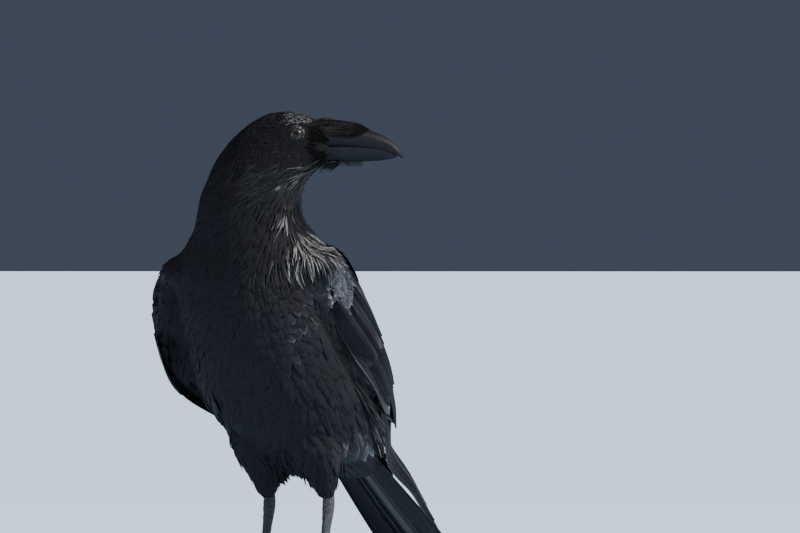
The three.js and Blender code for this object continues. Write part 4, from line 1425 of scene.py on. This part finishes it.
# ---------- mouth and eyes ----------
GAPE_LINE = ((47.5, 364.6), (53, 365.2), (59, 365.9), (65, 366.4), (70, 366.8))
GAPE_SIZES = [(0.5, 0.4), (0.9, 0.7), (1.0, 0.8), (0.85, 0.7), (0.5, 0.4)]
# The lid's section, as the distance from the axis and the height over the eye's centre.
LID_SECTION = [(6, 5.7), (6.35, 6), (6.75, 5.75), (7, 4.6), (8, 3.6), (8.6, 2.2), (7.4, 2), (6, 5)]


def make_gape(ground, side, turned):
    """The soft fold at a corner of the mouth.

    The last point of its line lies past the flesh, where the ray finds nothing, so the fold comes out empty.
    """
    line = []
    for forward, up in GAPE_LINE:
        start = Vector(seated(in_head(forward, up, 40 * turned)))
        place = ground.tree.ray_cast(start, Vector(-HEAD_RIGHT * turned))[0]
        out = max(float((in_bird(place) @ HEAD_RIGHT) * turned), 9.4 if forward > 55 else 0)
        line.append(in_head(forward, up, (out + 1.8) * turned))
    bm = limb(line, GAPE_SIZES, HEAD_RIGHT, 10, 30, (0.12, 0.12))
    worn_by_bird(linked(f"gape_{side}", bm, FINISHES["lid"]), "leg_skin")


def make_eye(side, turned):
    """A glossy dark brown eye, and the lid round it, with the head's side as its axis."""
    axis = HEAD_RIGHT * turned

    def at_eye(x, y, z):
        local = FORWARD * x[:, None] + UP * y[:, None] + axis * z[:, None]
        return seated(in_head(EYE_FORWARD, EYE_UP, EYE_OUT * turned) + local)

    def bulge(x, y, z):
        radius = EYE_RADIUS + 0.35 * smooth_step(6.2, 3.0, np.hypot(x, y) * EYE_RADIUS) * (z > 0)
        return at_eye(x * radius, y * radius, z * radius)

    bm = bmesh.new()
    bmesh.ops.create_uvsphere(bm, u_segments=40, v_segments=26, radius=1)
    gaze = bm.loops.layers.uv.new("gaze")
    for face in bm.faces:
        for loop in face.loops:
            x, y, z = loop.vert.co
            out = EYE_RADIUS * math.hypot(x, y)
            loop[gaze].uv = (math.atan2(y, x) / TURN, out if z > 0 else 2 * EYE_RADIUS - out)
    place_vertices(bm, bulge)
    bmesh.ops.recalc_face_normals(bm, faces=bm.faces)
    worn_by_bird(linked(f"eyeball_{side}", bm, FINISHES["eye"]), "eye", f"eye_{side}")

    bm = bmesh.new()
    ring = [bm.verts.new((rho, 0, high)) for rho, high in LID_SECTION]
    edges = [bm.edges.new((a, b)) for a, b in zip(ring, ring[1:] + ring[:1])]
    round_the_eye = {"cent": (0, 0, 0), "axis": (0, 0, 1), "angle": TURN, "steps": 48, "use_merge": True}
    bmesh.ops.spin(bm, geom=[*ring, *edges], **round_the_eye)
    bmesh.ops.remove_doubles(bm, verts=bm.verts, dist=1e-5)
    place_vertices(bm, lambda x, y, z: at_eye(x * 1.04, y * 0.95, z))
    bmesh.ops.recalc_face_normals(bm, faces=bm.faces)
    smoothed(bm, 1, factor=0.3)
    worn_by_bird(linked(f"eyelid_{side}", bm, FINISHES["lid"]), "leg_skin")


# ---------- legs ----------
FOOT_APART, FOOT_Y = 28, 72
CLAW_LENGTH, HIND_CLAW_LENGTH = 15, 18.75
SHANK = [(28, 88, 79), (28, 87.5, 68), (28, 83, 48), (28, 76, 24), (28, 72, 4.5)]
SHANK_SIZES = [(4.4, 5.2), (4.9, 5.8), (3.5, 4.5), (3.6, 4.6), (5.6, 6.2)]
# Each toe: the way it points, in degrees outwards, where it starts, its length and its thickness.
TOES = {
    "middle": (3, 3, 46, 4.6),
    "inner": (-24, 8, 35, 4.2),
    "outer": (27, 8, 37, 4.2),
    "hind": (180, 3, 27, 4.6),
}
TOE_SIZES = np.array([(0.95, 1.15), (0.92, 1.02), (0.86, 0.98), (0.72, 0.8)])
TOE_HEIGHTS = (1.2, 0.92, 0.86, 0.86)
CLAW = ((0, 5.4), (0.38, 6.4), (0.74, 4.6), (0.98, 1.1))
CLAW_SIZES = [(2.4, 3), (2.1, 2.6), (1.4, 1.7), (0.45, 0.5)]


def limb(points, sizes, side, around, along, ends, swell=None):
    """A tube along points, with its half widths across and along `side` at each of them."""
    spine = Curve(points)
    at = np.linspace(0, 1, len(points))
    across = unit(np.cross(spine.tangent(at), side)) * np.array(sizes, float)[:, 1:]
    rings = [(p - a, p + a, wide) for p, a, (wide, _) in zip(spine.points, across, sizes)]
    return rounded_body(rings, side, around, along, ends, swell=swell)


def ridged(count, depth, face):
    """Overlapping scutes: the tube steps out and tapers `count` times along the side that faces `face`."""

    def swell(t, angle):
        return 1 + depth * (1 - (t * count) % 1.0) * smooth_step(-0.2, 0.5, np.sin(angle) * face)

    return swell


def leg_part(name, finish, slot, node, *shape):
    """A limb of the leg that doesn't reach below the floor."""
    bm = limb(*shape)
    for vertex in bm.verts:
        vertex.co.z = max(vertex.co.z, 0.0)
    worn_by_bird(linked(name, bm, FINISHES[finish]), slot, node)


def make_leg(side, sign):
    line = [(sign * x, y, z) for x, y, z in SHANK]
    shape = line, SHANK_SIZES, LEFT, 28, 90, (0.08, 0.1), ridged(11, 0.09, -1)
    leg_part(f"leg_{side}", "scales", "leg_skin", f"shank_{side}", *shape)
    foot = np.array([sign * FOOT_APART, FOOT_Y, 0])
    for name, (angle, start, length, thick) in TOES.items():
        turn = math.radians(angle) * sign
        ahead = np.array([math.sin(turn), -math.cos(turn), 0])
        across = np.array([ahead[1], -ahead[0], 0])
        places = zip((start, length * 0.4, length * 0.7, length), TOE_HEIGHTS)
        line = [foot + ahead * far + UP * (thick * up) for far, up in places]
        shape = line, thick * TOE_SIZES, across, 22, 64, (0.1, 0.14), ridged(round(length / 3.4), 0.1, 1)
        leg_part(f"foot_{side}_{name}", "scales", "leg_skin", f"toe_{side}_{name}", *shape)
        size = HIND_CLAW_LENGTH if name == "hind" else CLAW_LENGTH
        line = [foot + ahead * (length - 2.5 + size * far) + UP * up for far, up in CLAW]
        shape = line, CLAW_SIZES, across, 16, 24, (0.1, 0.05)
        leg_part(f"talon_{side}_{name}", "claw", "horn", f"claw_{side}_{name}", *shape)


# ---------- making ----------
FINISHES = make_finishes()
make_camera()
make_studio()
ground = Ground(make_skin())
grow_coat(ground)
for side, sign in SIDES.items():
    wing_feathers(side)
    make_leg(side, sign)
shoulder_feathers(ground)
tail_feathers()
make_bill()
make_bristles(ground)
make_chin(ground)
for side, turned in (("right", 1), ("left", -1)):
    make_gape(ground, side, turned)
make_tufts(ground)
for side, turned in (("right", 1), ("left", -1)):
    make_eye(side, turned)
